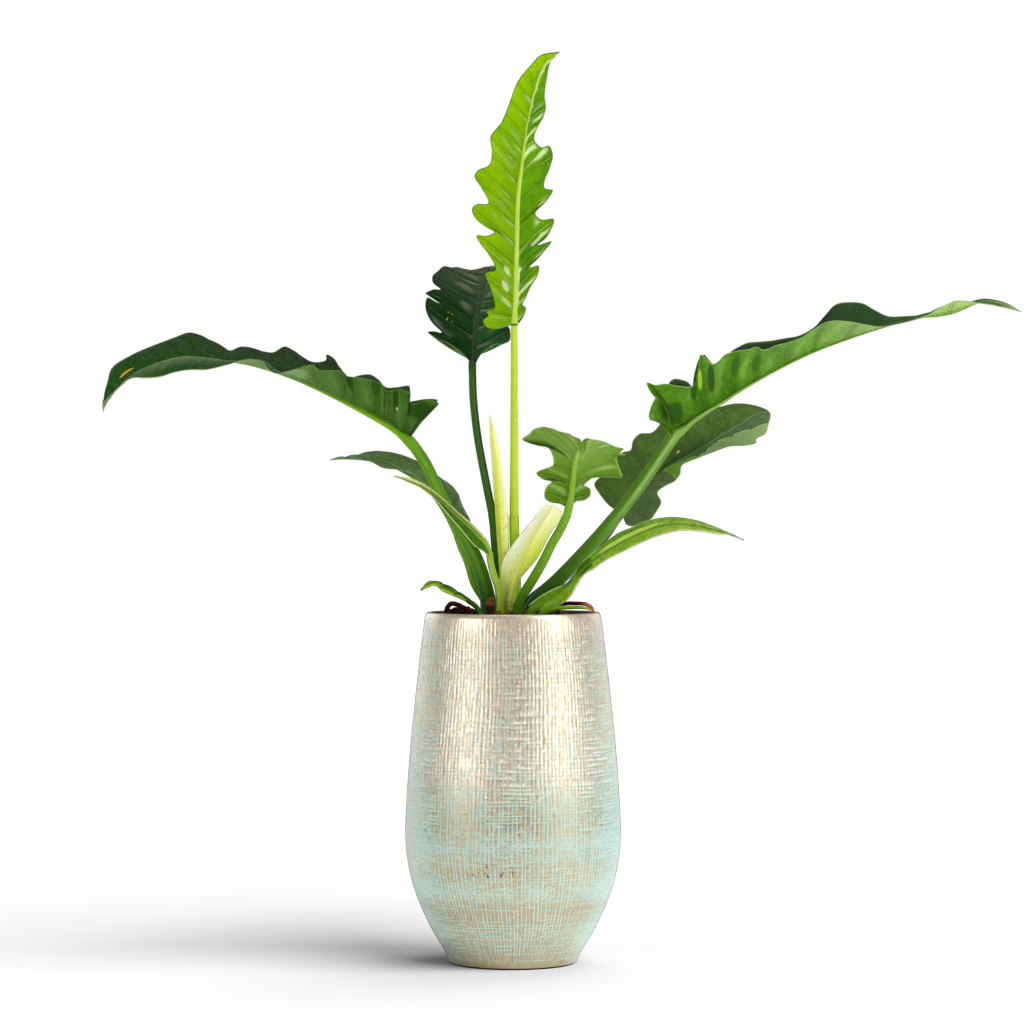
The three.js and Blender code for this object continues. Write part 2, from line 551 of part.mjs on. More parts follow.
function potGeometry() {
  const rim = outsideRadius(POT_HEIGHT);
  const shoulder = POT_HEIGHT - LIP_ROUND / 4;
  const lip = [
    [rim - LIP_ROUND / 10, POT_HEIGHT - LIP_ROUND],
    [rim - LIP_ROUND / 2, shoulder],
    [rim - POT_WALL / 2, POT_HEIGHT],
    [rim - POT_WALL + LIP_ROUND / 2, shoulder],
    [rim - POT_WALL, POT_HEIGHT - LIP_ROUND],
  ];
  const inside = INSIDE_HEIGHTS.map((height) => [outsideRadius(height) - POT_WALL, height]).reverse();
  return turned([[0, 0], ...POT_OUTSIDE, ...lip, ...inside, [0, POT_FLOOR]]);
}

// Soil that fills the pot, with a hole for the crown and for what grows beside it.
function soilGeometry() {
  const side = INSIDE_HEIGHTS.slice(1).map((height) => [outsideRadius(height) - POT_WALL - GAP, height]);
  const foot = [outsideRadius(POT_FLOOR) - POT_WALL - GAP, POT_FLOOR + GAP];
  const edge = outsideRadius(SOIL_TOP) - POT_WALL - GAP;
  const top = [
    [edge, SOIL_TOP - SOIL_DROP],
    [edge * 0.8, SOIL_TOP],
    [edge * 0.45, SOIL_TOP + SOIL_SWELL],
    [0, SOIL_TOP + SOIL_SWELL],
  ];
  const fill = solid(turned([[0, POT_FLOOR + GAP], foot, ...side, ...top]));
  const holes = [
    crownForm(GAP),
    rootHole(SMALL_LEFT_LEAF.stalk[0], SMALL_LEFT_LEAF.radii[0]),
    rootHole(THIN_SHOOT[0], THIN_SHOOT_RADII[0]),
  ];
  return geometryOf(holes.reduce((left, hole) => left.subtract(solid(hole)), fill));
}

// The crown's plain upright form, grown by a margin on its sides and below.
function crownForm(margin) {
  const height = CROWN_TOP - CROWN_BOTTOM + margin;
  const open = margin > 0 ? HOLE_RUN_OUT : 0;
  const geometry = new THREE.CylinderGeometry(1, 1, height + open, CROWN_SIDES);
  geometry.rotateX(Math.PI / 2);
  geometry.scale(CROWN_HALF_WIDTH + margin, CROWN_HALF_DEPTH + margin, 1);
  return geometry.translate(...CROWN_MIDDLE, CROWN_BOTTOM - margin + (height + open) / 2);
}

// A plain round hole for a stalk that stands in the soil by itself, from its foot up.
function rootHole(foot, radius) {
  const place = fromFront(foot);
  const size = radius + GAP;
  const geometry = new THREE.CylinderGeometry(size, size, ROOT_HOLE_HEIGHT, ROOT_HOLE_SIDES);
  return geometry.rotateX(Math.PI / 2).translate(place.x, place.y, foot[1] + ROOT_HOLE_HEIGHT / 2);
}

// A thin round shoot that tapers to its tip.
function shootGeometry() {
  const upright = new THREE.Vector3(0, 0, 1);
  const steps = THIN_SHOOT.length * SHOOT_STEPS_A_POINT;
  return loft(stalkRings(THIN_SHOOT, THIN_SHOOT_RADII, upright, NARROW_SECTION, steps));
}

// A dry flat strip, bent along its line.
function stripGeometry({ line, across: sideways, width, thickness }) {
  const path = new THREE.CatmullRomCurve3(line.map(fromFront), false, "centripetal");
  const steps = line.length * STRIP_STEPS_A_POINT;
  const rings = [];
  for (let step = 0; step <= steps; step++) {
    const share = step / steps;
    const along = path.getTangentAt(share);
    const across = new THREE.Vector3(...sideways);
    across.addScaledVector(along, -across.dot(along)).normalize();
    const out = along.clone().cross(across);
    const taper = 0.5 + 0.5 * Math.sin(Math.PI * share);
    const corners = [[1, 1], [-1, 1], [-1, -1], [1, -1]];
    rings.push(corners.map(([side, face]) => {
      const point = path.getPointAt(share).addScaledVector(across, (side * taper * width) / 2);
      return point.addScaledVector(out, (face * thickness) / 2);
    }));
  }
  return loft(rings);
}

// Colours and finish
const FINISH = {
  pot: { color: 0xb9a67f, roughness: 0.4, metalness: 0.5 },
  soil: { color: 0x2f1d12, roughness: 1 },
  bark: { color: 0x6d3f24, roughness: 0.9 },
  crown: { color: 0x8a9a3c, roughness: 0.7 },
  lime: { color: 0x8fbf1a, roughness: 0.35 },
  cream: { color: 0xdde59a, roughness: 0.5 },
  dark: { color: 0x1d4a22, roughness: 0.35 },
  green: { color: 0x3f7a26, roughness: 0.4 },
};

const plant = new THREE.Group();

// Adds one named piece with its finish.
function addPiece(name, geometry, finish) {
  const mesh = new THREE.Mesh(geometry, new THREE.MeshStandardMaterial(FINISH[finish]));
  mesh.name = name;
  plant.add(mesh);
}

addPiece("pot", potGeometry(), "pot");
addPiece("soil", soilGeometry(), "soil");
addPiece("crown", crownForm(0), "crown");
addPiece("upright_lime_leaf", leafGeometry(UPRIGHT_LEAF), "lime");
addPiece("back_dark_leaf", leafGeometry(BACK_DARK_LEAF), "dark");
addPiece("long_left_leaf", leafGeometry(LONG_LEFT_LEAF), "green");
addPiece("back_left_leaf", leafGeometry(BACK_LEFT_LEAF), "dark");
addPiece("front_left_strap_leaf", leafGeometry(FRONT_LEFT_STRAP, NARROW_SECTION), "green");
addPiece("small_left_leaf", leafGeometry(SMALL_LEFT_LEAF, NARROW_SECTION), "green");
addPiece("central_sheath", leafGeometry(CENTRAL_SHEATH, NARROW_SECTION), "cream");
addPiece("cream_sheath", leafGeometry(CREAM_SHEATH, NARROW_SECTION), "cream");
addPiece("front_small_leaf", leafGeometry(FRONT_SMALL_LEAF), "green");
addPiece("back_right_leaf", leafGeometry(BACK_RIGHT_LEAF), "dark");
addPiece("long_right_leaf", leafGeometry(LONG_RIGHT_LEAF), "green");
addPiece("front_right_strap_leaf", leafGeometry(FRONT_RIGHT_STRAP, NARROW_SECTION), "green");
addPiece("thin_right_shoot", shootGeometry(), "green");
addPiece("curled_bark", stripGeometry(CURLED_BARK), "bark");
addPiece("dry_strip", stripGeometry(DRY_STRIP), "bark");
addPiece("dry_scale", stripGeometry(DRY_SCALE), "bark");

export default plant;
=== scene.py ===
"""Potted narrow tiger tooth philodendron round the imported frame. Metres, +Z up, the front is -Y."""
import functools
import math
import random
import bpy
import numpy as np
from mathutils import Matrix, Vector


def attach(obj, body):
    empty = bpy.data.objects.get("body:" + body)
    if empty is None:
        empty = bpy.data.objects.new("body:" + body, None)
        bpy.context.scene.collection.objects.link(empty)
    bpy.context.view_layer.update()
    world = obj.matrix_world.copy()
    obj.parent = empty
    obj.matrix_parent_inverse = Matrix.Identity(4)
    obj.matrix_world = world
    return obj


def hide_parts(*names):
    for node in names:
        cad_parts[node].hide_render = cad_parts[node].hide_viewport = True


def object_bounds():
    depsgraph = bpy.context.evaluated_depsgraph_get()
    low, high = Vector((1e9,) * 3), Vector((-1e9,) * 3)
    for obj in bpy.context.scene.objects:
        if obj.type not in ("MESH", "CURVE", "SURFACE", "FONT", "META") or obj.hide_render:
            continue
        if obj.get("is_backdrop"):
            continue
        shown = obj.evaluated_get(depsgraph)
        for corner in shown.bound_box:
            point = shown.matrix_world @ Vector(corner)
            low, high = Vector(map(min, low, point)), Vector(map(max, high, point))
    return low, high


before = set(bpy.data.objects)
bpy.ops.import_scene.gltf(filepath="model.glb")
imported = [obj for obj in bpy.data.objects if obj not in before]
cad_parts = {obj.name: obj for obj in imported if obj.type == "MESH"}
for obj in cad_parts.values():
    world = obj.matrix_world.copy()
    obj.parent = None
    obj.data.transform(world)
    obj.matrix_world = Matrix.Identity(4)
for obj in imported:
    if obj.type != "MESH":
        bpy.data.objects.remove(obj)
CAD_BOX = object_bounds()
MM = 0.001

# Pot, in millimetres
POT_HEIGHT = 300
POT_WALL = 6
POT_FLOOR = 9
LIP_ROUND = 2.2
FOOT_INSET = 52
FOOT_GAP = 1.7
# Outside of the pot from the base to the lip: (radius, height)
POT_OUTSIDE = [(54, 0), (58.5, 10), (66, 22), (73.5, 36), (81, 53), (87, 71), (91, 92), (92.3, 113),
               (91.2, 139), (88.4, 180), (84, 224), (79.5, 264), (76, 292), (75, 300)]
UPRIGHT_GROOVES = 150
GROOVE_DEPTH = 0.38
GROOVE_HALF = 0.3
LEVEL_HALF = 0.55
LEVEL_STEPS = [2.4, 3, 3.6, 4.5, 6]
# More or less glaze in level belts of the pot, by share of its height: (start, peak, end, how much)
MINT_BELTS = [
    (0.3, 0.35, 0.4, 0.14),
    (0.24, 0.28, 0.32, -0.1),
    (0.19, 0.22, 0.26, 0.12),
    (0.1, 0.18, 0.21, -0.2),
]
LEVEL_STRENGTHS = [0.6, 0.7, 0.8, 0.9, 1.0]
LEVEL_FADE = 1.4
# Rows of the outside: two above the foot, the first and last level groove, and three below the lip
FOOT_ROWS = [1.3, 4.0]
FIRST_LEVEL = 8.0
LAST_LEVEL = POT_HEIGHT - 12
LIP_ROWS = [POT_HEIGHT - 8, POT_HEIGHT - 5.5, POT_HEIGHT - 3.5]
# Where the carving and its waviness fade out: above the foot, over how much, below the lip, over how much
CARVED = (2, 6, 4, 9)
WAVY = (5, 20, 6, 20)
GLAZE_GRAIN = 0.06
# The heights of the rows inside the pot, and of those on the soil's side
INSIDE_HEIGHTS = [292, 264, 180, 92, 36, POT_FLOOR]
SOIL_SIDE_HEIGHTS = [260, 224, 139, 92, 53]

# Soil and crown, in millimetres
SOIL_TOP = 294
SOIL_SWELL = 1.6
SOIL_DROP = 2
SOIL_GAP = 0.3
SOIL_CHIPS = 650
CHIPS_FROM_EDGE = 3
HEAP_FROM_EDGE = 4
SOIL_SIDES = 120
SOIL_ROWS = 46
# The least and the most of each size of a chip
SOIL_CHIP = [(0.8, 3.2), (0.6, 2.0), (0.4, 1.1)]
HEAP_CHIP = [(1.0, 2.8), (0.8, 1.8), (0.5, 1.2)]
HUSK_CHIP = [(0.5, 1.5), (0.4, 0.8), (1.2, 3.0)]
HEAP_MIDDLE = (-44, 24)
HEAP_HALF = (19, 22)
HEAP_RISE = 9.5
HEAP_CHIPS = 420
HUSK_CHIPS = 46
CROWN_MIDDLE = (-3, -1)
CROWN_HALF_WIDTH = 27
CROWN_HALF_DEPTH = 25
CROWN_SIDES = 96
# The crown's mound from below upwards: (share of its half width, height)
CROWN_PROFILE = [(1, 256), (1, 280), (1, 292), (0.98, 295), (0.93, 297), (0.82, 298.4), (0.6, 299),
                 (0.35, 299.4), (0.1, 299.5)]

# Light: the dim light from all round, and each softbox with its place, aim, width, height and brightness
AMBIENT = 0.26
SOFTBOXES = [
    ("right_softbox", (1.85, -1.3, 0.6), (0, 0, 0.35), 1.35, 1.8, 2.1, (1.0, 0.99, 0.97)),
    ("left_softbox", (-1.85, -1.3, 0.6), (0, 0, 0.35), 1.5, 2.0, 2.0, (1.0, 0.99, 0.98)),
    ("key_softbox", (1.5, -0.9, 2.1), (0, 0, 0.2), 1.2, 1.2, 4.0, (1.0, 1.0, 0.99)),
    ("top_softbox", (0, 0, 2.6), (0, 0, 0), 2.0, 2.0, 0.9, (1.0, 1.0, 1.0)),
    ("back_left_softbox", (-1.6, 2.0, 0.7), (0, 0, 0.3), 1.8, 1.8, 1.2, (0.96, 1.0, 1.0)),
    ("back_right_softbox", (1.6, 2.0, 0.7), (0, 0, 0.3), 1.8, 1.8, 0.8, (0.96, 1.0, 1.0)),
]
# The lamps that shape the pot's soft shadow: they light the floor alone
FLOOR_LAMPS = [
    ("floor_front_softbox", (1.9, -1.5, 2.2), (0, 0, 0), 3.6, 1.2, 26, (1.0, 1.0, 1.0)),
    ("floor_back_softbox", (0.7, 1.0, 2.8), (0, 0, 0), 1.6, 1.6, 9, (1.0, 1.0, 1.0)),
]

# Floor and camera: metres for the reaches, millimetres for the lens and the eye
FLOOR_REACH = 400.0
FLOOR_COLOUR = (172, 172, 172)
LENS = 119.1
SENSOR = 36
FARTHEST = 500
EYE_SIDE = -0.9
EYE_DISTANCE = 2908
EYE_HEIGHT = 386

# Leaves, in millimetres
SIDE_VEIN_SWEEP = 0.45
LEAST_ROW_STEP = 0.9
ROW_STEP = 1.1
LEAST_ROWS = 8
SMOOTHED_OVER = 9
VEIN_SPACING = 13
MIDRIB_SAMPLES = 241
TUBE_STEP = 2.5
TUBE_SIDES = 20
SINK_OVER = 14
LEAF_THICKNESS = 0.6
BLADE_CAMBER = 0.07
# The swelling between side veins: its rise by the room between them, at most this room, and its fading
# towards the rib and the margin as shares of the blade's width
BLADE_QUILT = 0.07
MOST_QUILT_ROOM = 16
QUILT_FROM_RIB = 0.25
QUILT_FROM_MARGIN = 0.15
# The crease along a side vein, which fades towards the margin, and the one along the rib
VEIN_DEPTH = 0.3
VEIN_HALF_WIDTH = 0.7
VEIN_FADE = 0.3
LEAST_VEIN = 0.15
RIB_CREASE_DEPTH = 0.5
RIB_CREASE_HALF_WIDTH = 1.6
# How fast the blade thickens from its margin inwards, and its least share of the thickness there
MARGIN_THICKENING = 12
MARGIN_SHARE = 0.35
LEAST_RIB = 0.7
RIB_START = 0.85
RIB_TAPER = 0.8

# The leaves are laid out as they look from the front: each point is [x, z, depth], where x and z are
# measured in the upright plane through the pot's axis, and depth is the true distance behind it. Each
# leaf: its stalk from the crown up, the stalk's radius at its foot and at the blade, its midrib from
# blade base to tip, and both margins from base to tip. Left and right are as seen on the upper face,
# looking towards the tip.
UPRIGHT_LEAF = {
    "stalk": [[1, 297, 0], [2, 324, 0], [1, 379, 0], [1, 440, 0], [1, 495, 0], [1, 545, 0]],
    "radii": [5.4, 2.9],
    "sweep": 0.75,
    "rib": [(0, 2.1), (0.45, 1.9), (0.6, 1.3), (0.68, 0.6), (0.8, 0.3), (1, 0.25)],
    "midrib": [[1, 547, 0], [2, 577, 0], [3, 611, 0], [4, 654, 1], [8, 688, 0], [13, 723, -2],
        [19, 749, -3], [27, 770, -1], [40, 781, 5]],
    "left": [[5, 548, 3], [9, 554, 9], [11, 561, 14], [8, 564, 10], [11, 570, 14], [15, 579, 19],
        [21, 589, 25], [22, 597, 27], [14, 596, 17], [21, 603, 24], [27, 610, 31], [33, 618, 34],
        [21, 615, 21], [28, 621, 29], [33, 629, 34], [35, 637, 35], [24, 637, 24], [19, 642, 18],
        [26, 650, 26], [31, 656, 31], [34, 662, 33], [27, 664, 26], [27, 670, 24], [31, 680, 28],
        [34, 692, 30], [31, 700, 26], [24, 699, 19], [18, 706, 12], [21, 716, 14], [26, 725, 16],
        [28, 733, 16], [27, 743, 13], [29, 759, 9], [32, 772, 5]],
    "right": [[-3, 546, 2], [-15, 543, 9], [-23, 545, 13], [-26, 550, 14], [-21, 555, 11], [-23, 558, 12],
        [-16, 561, 10], [-16, 566, 10], [-20, 580, 12], [-24, 591, 15], [-15, 594, 9], [-21, 607, 12],
        [-28, 616, 15], [-31, 623, 17], [-22, 623, 13], [-15, 627, 9], [-24, 631, 14], [-33, 639, 18],
        [-35, 646, 19], [-31, 650, 17], [-21, 651, 11], [-27, 664, 14], [-33, 674, 17], [-30, 679, 16],
        [-20, 684, 11], [-18, 695, 9], [-19, 708, 9], [-10, 720, 5], [-4, 734, 3], [4, 755, 0],
        [15, 769, -1], [24, 778, 0]],
}

BACK_DARK_LEAF = {
    "stalk": [[-11, 297, 8], [-12, 332, 9], [-15, 356, 12], [-17, 379, 15], [-22, 405, 19], [-30, 448, 26],
        [-34, 482, 32], [-35, 511, 35]],
    "radii": [4, 3.3],
    "camber": -0.05,
    "vein_spacing": 20,
    "quilt": 0.11,
    "midrib": [[-35, 513, 36], [-33, 532, 48], [-32, 549, 62], [-29, 565, 78], [-26, 578, 95],
        [-23, 588, 113], [-21, 595, 133], [-19, 597, 155], [-17, 596, 178], [-15, 588, 200],
        [-14, 573, 222]],
    "left": [[-37, 515, 35], [-45, 524, 30], [-59, 533, 26], [-73, 540, 24], [-68, 541, 32],
        [-61, 540, 40], [-69, 548, 40], [-74, 557, 46], [-75, 565, 54], [-73, 570, 60],
        [-67.5, 567, 62], [-61.5, 565, 66], [-61.5, 568.5, 69], [-67, 572.5, 71], [-75, 573.5, 72],
        [-68, 577, 78], [-62, 577, 84], [-68, 582, 88], [-69, 588, 96], [-64, 593, 106],
        [-58, 597, 118], [-49, 593, 124], [-52, 596, 136], [-55, 592, 150], [-44, 592, 156],
        [-40, 592, 166], [-42, 585, 178], [-32, 585, 184], [-27, 582, 200], [-21, 578, 212]],
    "right": [[-32, 514, 36], [-27, 522, 34], [-20, 528, 32], [-12, 531, 32], [-4, 532, 34], [-3, 543, 46],
        [-7, 549, 56], [0, 556, 60], [1, 565, 70], [-6, 568, 80], [2, 575, 84], [3, 584, 96],
        [-6, 585, 106], [1, 591, 112], [1, 596, 126], [-9, 596, 134], [-3, 597, 146], [-3, 596, 160],
        [-10, 594, 166], [-7, 589, 180], [-9, 584, 196], [-12, 577, 210]],
}

LONG_LEFT_LEAF = {
    "stalk": [[-21, 297, -1], [-22, 313, -2], [-30, 341, -4], [-38, 358, -6], [-45.5, 371, -7],
        [-60.5, 397, -9], [-76, 429, -10], [-86, 444, -11]],
    "radii": [7.2, 4.8],
    "rib": [(0, 3.6), (0.12, 2.8), (0.25, 1.5), (0.36, 0.7), (1, 0.3)],
    "midrib": [[-89, 447, -11], [-97, 455, -12], [-107, 462, -14], [-126, 472, -16], [-147, 482, -18],
        [-176, 495, -21], [-205, 506, -24], [-226, 512, -25], [-243, 515, -26], [-264, 518, -27],
        [-282, 519, -27], [-304, 514, -26], [-318, 508, -24], [-330, 500, -21], [-343, 488, -18],
        [-351, 479, -16], [-352, 472, -15]],
    "left": [[-88, 451, -15], [-82, 460, -24], [-72, 471, -33], [-64, 479, -40], [-73, 482, -36],
        [-87, 479, -28], [-90, 485, -30], [-88, 488, -36], [-97, 491, -34], [-109, 490, -24],
        [-111, 494, -30], [-118, 498, -36], [-130, 501, -38], [-144, 503, -28], [-147, 507, -36],
        [-166, 508, -38], [-172, 512, -42], [-180, 511, -44], [-189, 508, -42], [-204, 505, -42],
        [-211, 509, -46], [-215, 515, -50], [-224, 517, -51], [-234, 516, -50], [-243, 513, -50],
        [-264, 508, -54], [-276, 508, -54], [-290, 506, -52], [-303, 502, -48], [-314, 501, -44],
        [-326, 501, -36], [-334, 497, -28], [-344, 486, -21], [-350, 477, -17]],
    "right": [[-86, 453, -6], [-78, 464, 6], [-70, 475, 16], [-65, 482, 22], [-73, 483, 20], [-93, 481, 8],
        [-90, 488, 14], [-89, 494, 18], [-100, 493, 15], [-109, 493, 9], [-116, 500, 15], [-123, 504, 19],
        [-133, 503, 15], [-140, 501, 6], [-150, 512, 14], [-154, 518, 18], [-160, 521, 20], [-161, 516, 14],
        [-173, 515, 10], [-189, 525, 16], [-196, 528, 18], [-206, 523, 12], [-215, 524, 8], [-233, 528, 13],
        [-245, 524, 10], [-257, 531, 10], [-267, 537, 9], [-278, 540, 8], [-290, 536, 6], [-306, 530, 4],
        [-325, 522, 1], [-344, 510, -4], [-348, 498, -9], [-351, 486, -13]],
}

BACK_LEFT_LEAF = {
    "stalk": [[-19, 297, 14], [-25, 311, 14], [-33, 324, 15], [-39, 343, 17], [-45, 357, 19],
        [-48, 366, 21]],
    "radii": [3.8, 2.9],
    "midrib": [[-48, 367, 21], [-57, 386, 26], [-70, 404, 32], [-83, 415, 37], [-95, 422, 41],
        [-107, 428, 45], [-122, 432, 49], [-140, 433, 52], [-157, 431, 54]],
    "left": [[-48, 364, 17], [-51, 370, 10], [-59, 383, 5], [-68, 397, 4], [-76, 406, 6], [-83, 414, 10],
        [-88, 420, 14], [-97, 422, 20], [-112, 424, 29], [-122, 429, 38], [-138, 431, 47]],
    "right": [[-46, 368, 24], [-40, 373, 34], [-37, 378, 42], [-40, 385, 44], [-44, 393, 44],
        [-46, 399, 38], [-48, 403, 46], [-53, 409, 50], [-63, 416, 52], [-73, 425, 54], [-85, 431, 58],
        [-99, 436, 60], [-111, 438, 62], [-122, 438, 62], [-133, 435, 60], [-144, 433, 57]],
}

FRONT_LEFT_STRAP = {
    "quilt": 0,
    "vein_depth": 0,
    "stalk": [[-11, 297, -15.5], [-12.5, 320, -15.5], [-17.5, 335, -16], [-20, 347, -16.5]],
    "radii": [4.2, 2.7],
    "midrib": [[-20, 350, -16], [-23, 357, -18], [-30, 365, -22], [-40, 375, -27], [-52, 386, -33],
        [-64, 397, -39], [-76, 406, -44], [-89, 413, -48], [-102, 417, -51]],
    "left": [[-21, 348, -19], [-25, 352, -24], [-33, 357, -30], [-44, 370, -38], [-57, 385, -44],
        [-69, 399, -48], [-80, 407, -50], [-91, 412, -50]],
    "right": [[-19, 353, -12], [-22, 361, -11], [-29, 369, -13], [-38, 378, -17], [-51, 389, -23],
        [-63, 400, -29], [-75, 409, -36], [-88, 415, -44]],
}

SMALL_LEFT_LEAF = {
    "stalk": [[-27, 285, -19], [-27.5, 297, -19], [-32, 305, -19], [-39, 310, -20]],
    "radii": [2.4, 1.9],
    "midrib": [[-40, 311, -20], [-52, 318, -24], [-63, 323, -28], [-70, 325, -31], [-75, 323, -33],
        [-79, 319, -34]],
    "left": [[-40, 309, -23], [-51, 314, -30], [-60, 318, -33], [-67, 323, -34], [-74, 321, -34]],
    "right": [[-39, 312, -17], [-49, 318, -16], [-58, 323, -20], [-65, 326, -26], [-73, 326, -31]],
}

CENTRAL_SHEATH = {
    "stalk": [[-9, 297, -4], [-8.5, 303, -4]],
    "radii": [2.6, 2],
    "rib": [(0, 1.4), (0.15, 0.6), (1, 0.3)],
    "quilt": 0,
    "vein_depth": 0,
    "midrib": [[-8, 306, -5], [-8, 332, -6], [-10, 367, -7], [-12, 397, -7], [-14, 427, -7], [-17, 448, -6],
        [-20, 469, -5]],
    "left": [[-4.5, 310, -5], [-4, 345, -5], [-4, 381, -5], [-7, 407, -5], [-10, 427, -5], [-14, 448, -5]],
    "right": [[-12, 310, -4], [-11.5, 332, -4], [-14, 367, -4], [-16, 397, -5], [-18, 427, -5],
        [-19.5, 448, -5]],
}

CREAM_SHEATH = {
    "stalk": [[-4, 297, -10], [-3.5, 303, -10]],
    "radii": [2.8, 2.8],
    "rib": [(0, 2), (0.15, 0.8), (0.3, 0.3), (1, 0.2)],
    "quilt": 0,
    "vein_depth": 0,
    "midrib": [[-3, 306, -10.5], [-1, 319, -12], [7, 340, -14], [18, 365, -15], [27, 379, -16],
        [35, 392, -16]],
    "left": [[2, 308, -9], [4, 325, -10], [20, 346, -11], [31, 366, -12], [42, 386, -14]],
    "right": [[-8.5, 309, -8.5], [-10.5, 325, -10], [-9, 343, -11], [4, 363, -10], [17, 379, -11],
        [27, 391, -13]],
}

FRONT_SMALL_LEAF = {
    "stalk": [[3, 297, -19], [7, 312, -21], [15, 325, -24], [25, 342, -29], [33, 358, -34], [41, 372, -40],
        [47, 385, -47]],
    "radii": [4.6, 3.4],
    "midrib": [[48, 390, -50], [50, 401, -60], [51, 410, -72], [52, 419, -86], [53, 427, -102],
        [55, 436, -120], [58, 442, -140], [59, 446, -156], [60, 441, -168], [59, 431, -176]],
    "left": [[50, 391, -52], [54, 395, -54], [61, 396, -56], [66, 400, -60], [66, 406, -66], [61, 409, -72],
        [68, 415, -76], [76, 417, -78], [85, 415, -80], [93, 416, -84], [90, 426, -94], [89, 433, -102],
        [96, 435, -104], [92, 437, -108], [95, 440, -110], [88, 442, -116], [79, 446, -124],
        [71, 448, -136], [65, 448, -152], [63, 440, -170]],
    "right": [[46, 390, -50], [40, 393, -50], [33, 394, -52], [28, 397, -56], [27, 402, -62],
        [29, 408, -70], [33, 412, -78], [26, 414, -76], [20, 419, -78], [27, 423, -88], [34, 426, -94],
        [34, 434, -106], [30, 441, -112], [21, 443, -112], [8, 448, -110], [14, 453, -118], [18, 457, -122],
        [27, 459, -128], [37, 456, -136], [46, 453, -146], [53, 448, -158], [56, 441, -170]],
}

BACK_RIGHT_LEAF = {
    "stalk": [[3, 297, 16], [15, 311, 17], [33, 325, 20], [58, 345, 25], [77, 362, 30], [92, 384, 36]],
    "radii": [4, 3.2],
    "midrib": [[93, 386, 37], [109, 405, 46], [130, 422, 57], [147, 433, 66], [164, 442, 75],
        [179, 452, 84], [195, 461, 93], [209, 470, 101], [220, 472, 106]],
    "left": [[89, 387, 38], [82, 392, 42], [74, 402, 46], [70, 410, 50], [78, 419, 56], [84, 428, 61],
        [94, 437, 66], [101, 439, 68], [103, 447, 72], [109, 453, 76], [119, 454, 78], [126, 461, 82],
        [130, 470, 86], [138, 474, 90], [150, 474, 93], [162, 475, 97], [176, 476, 101], [191, 479, 105],
        [205, 478, 108], [215, 475, 110]],
    "right": [[95, 383, 34], [97, 376, 28], [103, 374, 24], [113, 378, 20], [118, 380, 16], [122, 385, 16],
        [127, 394, 20], [124, 403, 30], [132, 409, 30], [138, 412, 28], [143, 418, 32], [145, 426, 40],
        [158, 432, 34], [171, 437, 36], [185, 442, 46], [199, 443, 58], [208, 445, 66], [209, 449, 74],
        [216, 453, 80], [219, 461, 90], [221, 469, 100]],
}

LONG_RIGHT_LEAF = {
    "vein_spacing": 24,
    "quilt": 0.045,
    "rib": [(0, 4.6), (0.06, 3.2), (0.12, 2.2), (0.25, 1.5), (0.5, 1.0), (1, 0.3)],
    "stalk": [[13, 297, 8], [21, 311, 7], [39, 328, 5], [62, 352, 2], [85, 378, -1], [109, 409, -3],
        [126, 434, -4], [136, 449, -5]],
    "radii": [6.6, 5.3],
    "midrib": [[138, 452, -5], [151, 464, -6], [165, 473, -8], [179, 481, -9], [193, 490, -11],
        [225, 508, -14], [256, 523, -17], [288, 535, -20], [319, 545, -23], [351, 553, -25],
        [365, 554, -26], [378, 556.5, -27], [388, 560.5, -27], [397, 564.5, -28], [409, 566.5, -29],
        [423, 563, -31], [436, 558, -32]],
    "left": [[136, 451, 0], [130, 459, 8], [124, 470, 15], [122, 481, 20], [130, 484, 20],
        [137, 486, 16], [133, 494, 20], [138, 500, 24], [149, 498, 20], [154, 494, 10], [156, 506, 14],
        [160, 518, 20], [164, 521, 23], [167, 518, 18], [174, 512, 6], [181, 518, 10], [189, 525, 14],
        [201, 531, 17], [211, 532, 13], [222, 533, 8], [233, 535, 9], [246, 537.5, 10], [259, 545, 10],
        [268, 555, 10], [277, 564, 11], [289, 566, 11], [300, 565, 11], [311, 559, 7], [322, 554, 3],
        [340, 553.5, -6], [354, 555.5, -12], [367, 559.5, -17], [380, 563.5, -19], [391, 566, -21],
        [401, 568.3, -24], [412, 568.3, -27], [425, 564.5, -30]],
    "right": [[137, 448, -10], [131, 457, -18], [124, 463, -24], [117, 466, -30], [118, 475, -34],
        [123, 484, -33], [127, 476, -26], [134, 464, -18], [128, 480, -28], [118, 489, -38],
        [115, 497, -42], [122, 495, -40], [131, 496, -38], [142, 494, -34], [154, 494, -26],
        [158, 504, -34], [159, 514, -40], [161, 521, -44], [166, 517, -38], [172, 513, -30],
        [176, 515, -33], [182, 521, -38], [192, 524, -42], [202, 525.5, -44], [209, 527.5, -45],
        [215, 525, -43], [226, 529, -42], [238, 532, -43], [247, 535.5, -46], [257, 542, -50],
        [269, 549, -54], [283, 550, -54], [302, 547, -50], [313, 545, -48], [324, 546, -46],
        [336, 548.5, -44], [347, 551.5, -42], [356, 555, -41], [367, 561.5, -38], [379, 567, -37],
        [391, 567, -36], [401, 565, -36], [412, 563.3, -35], [425, 560.5, -33]],
}

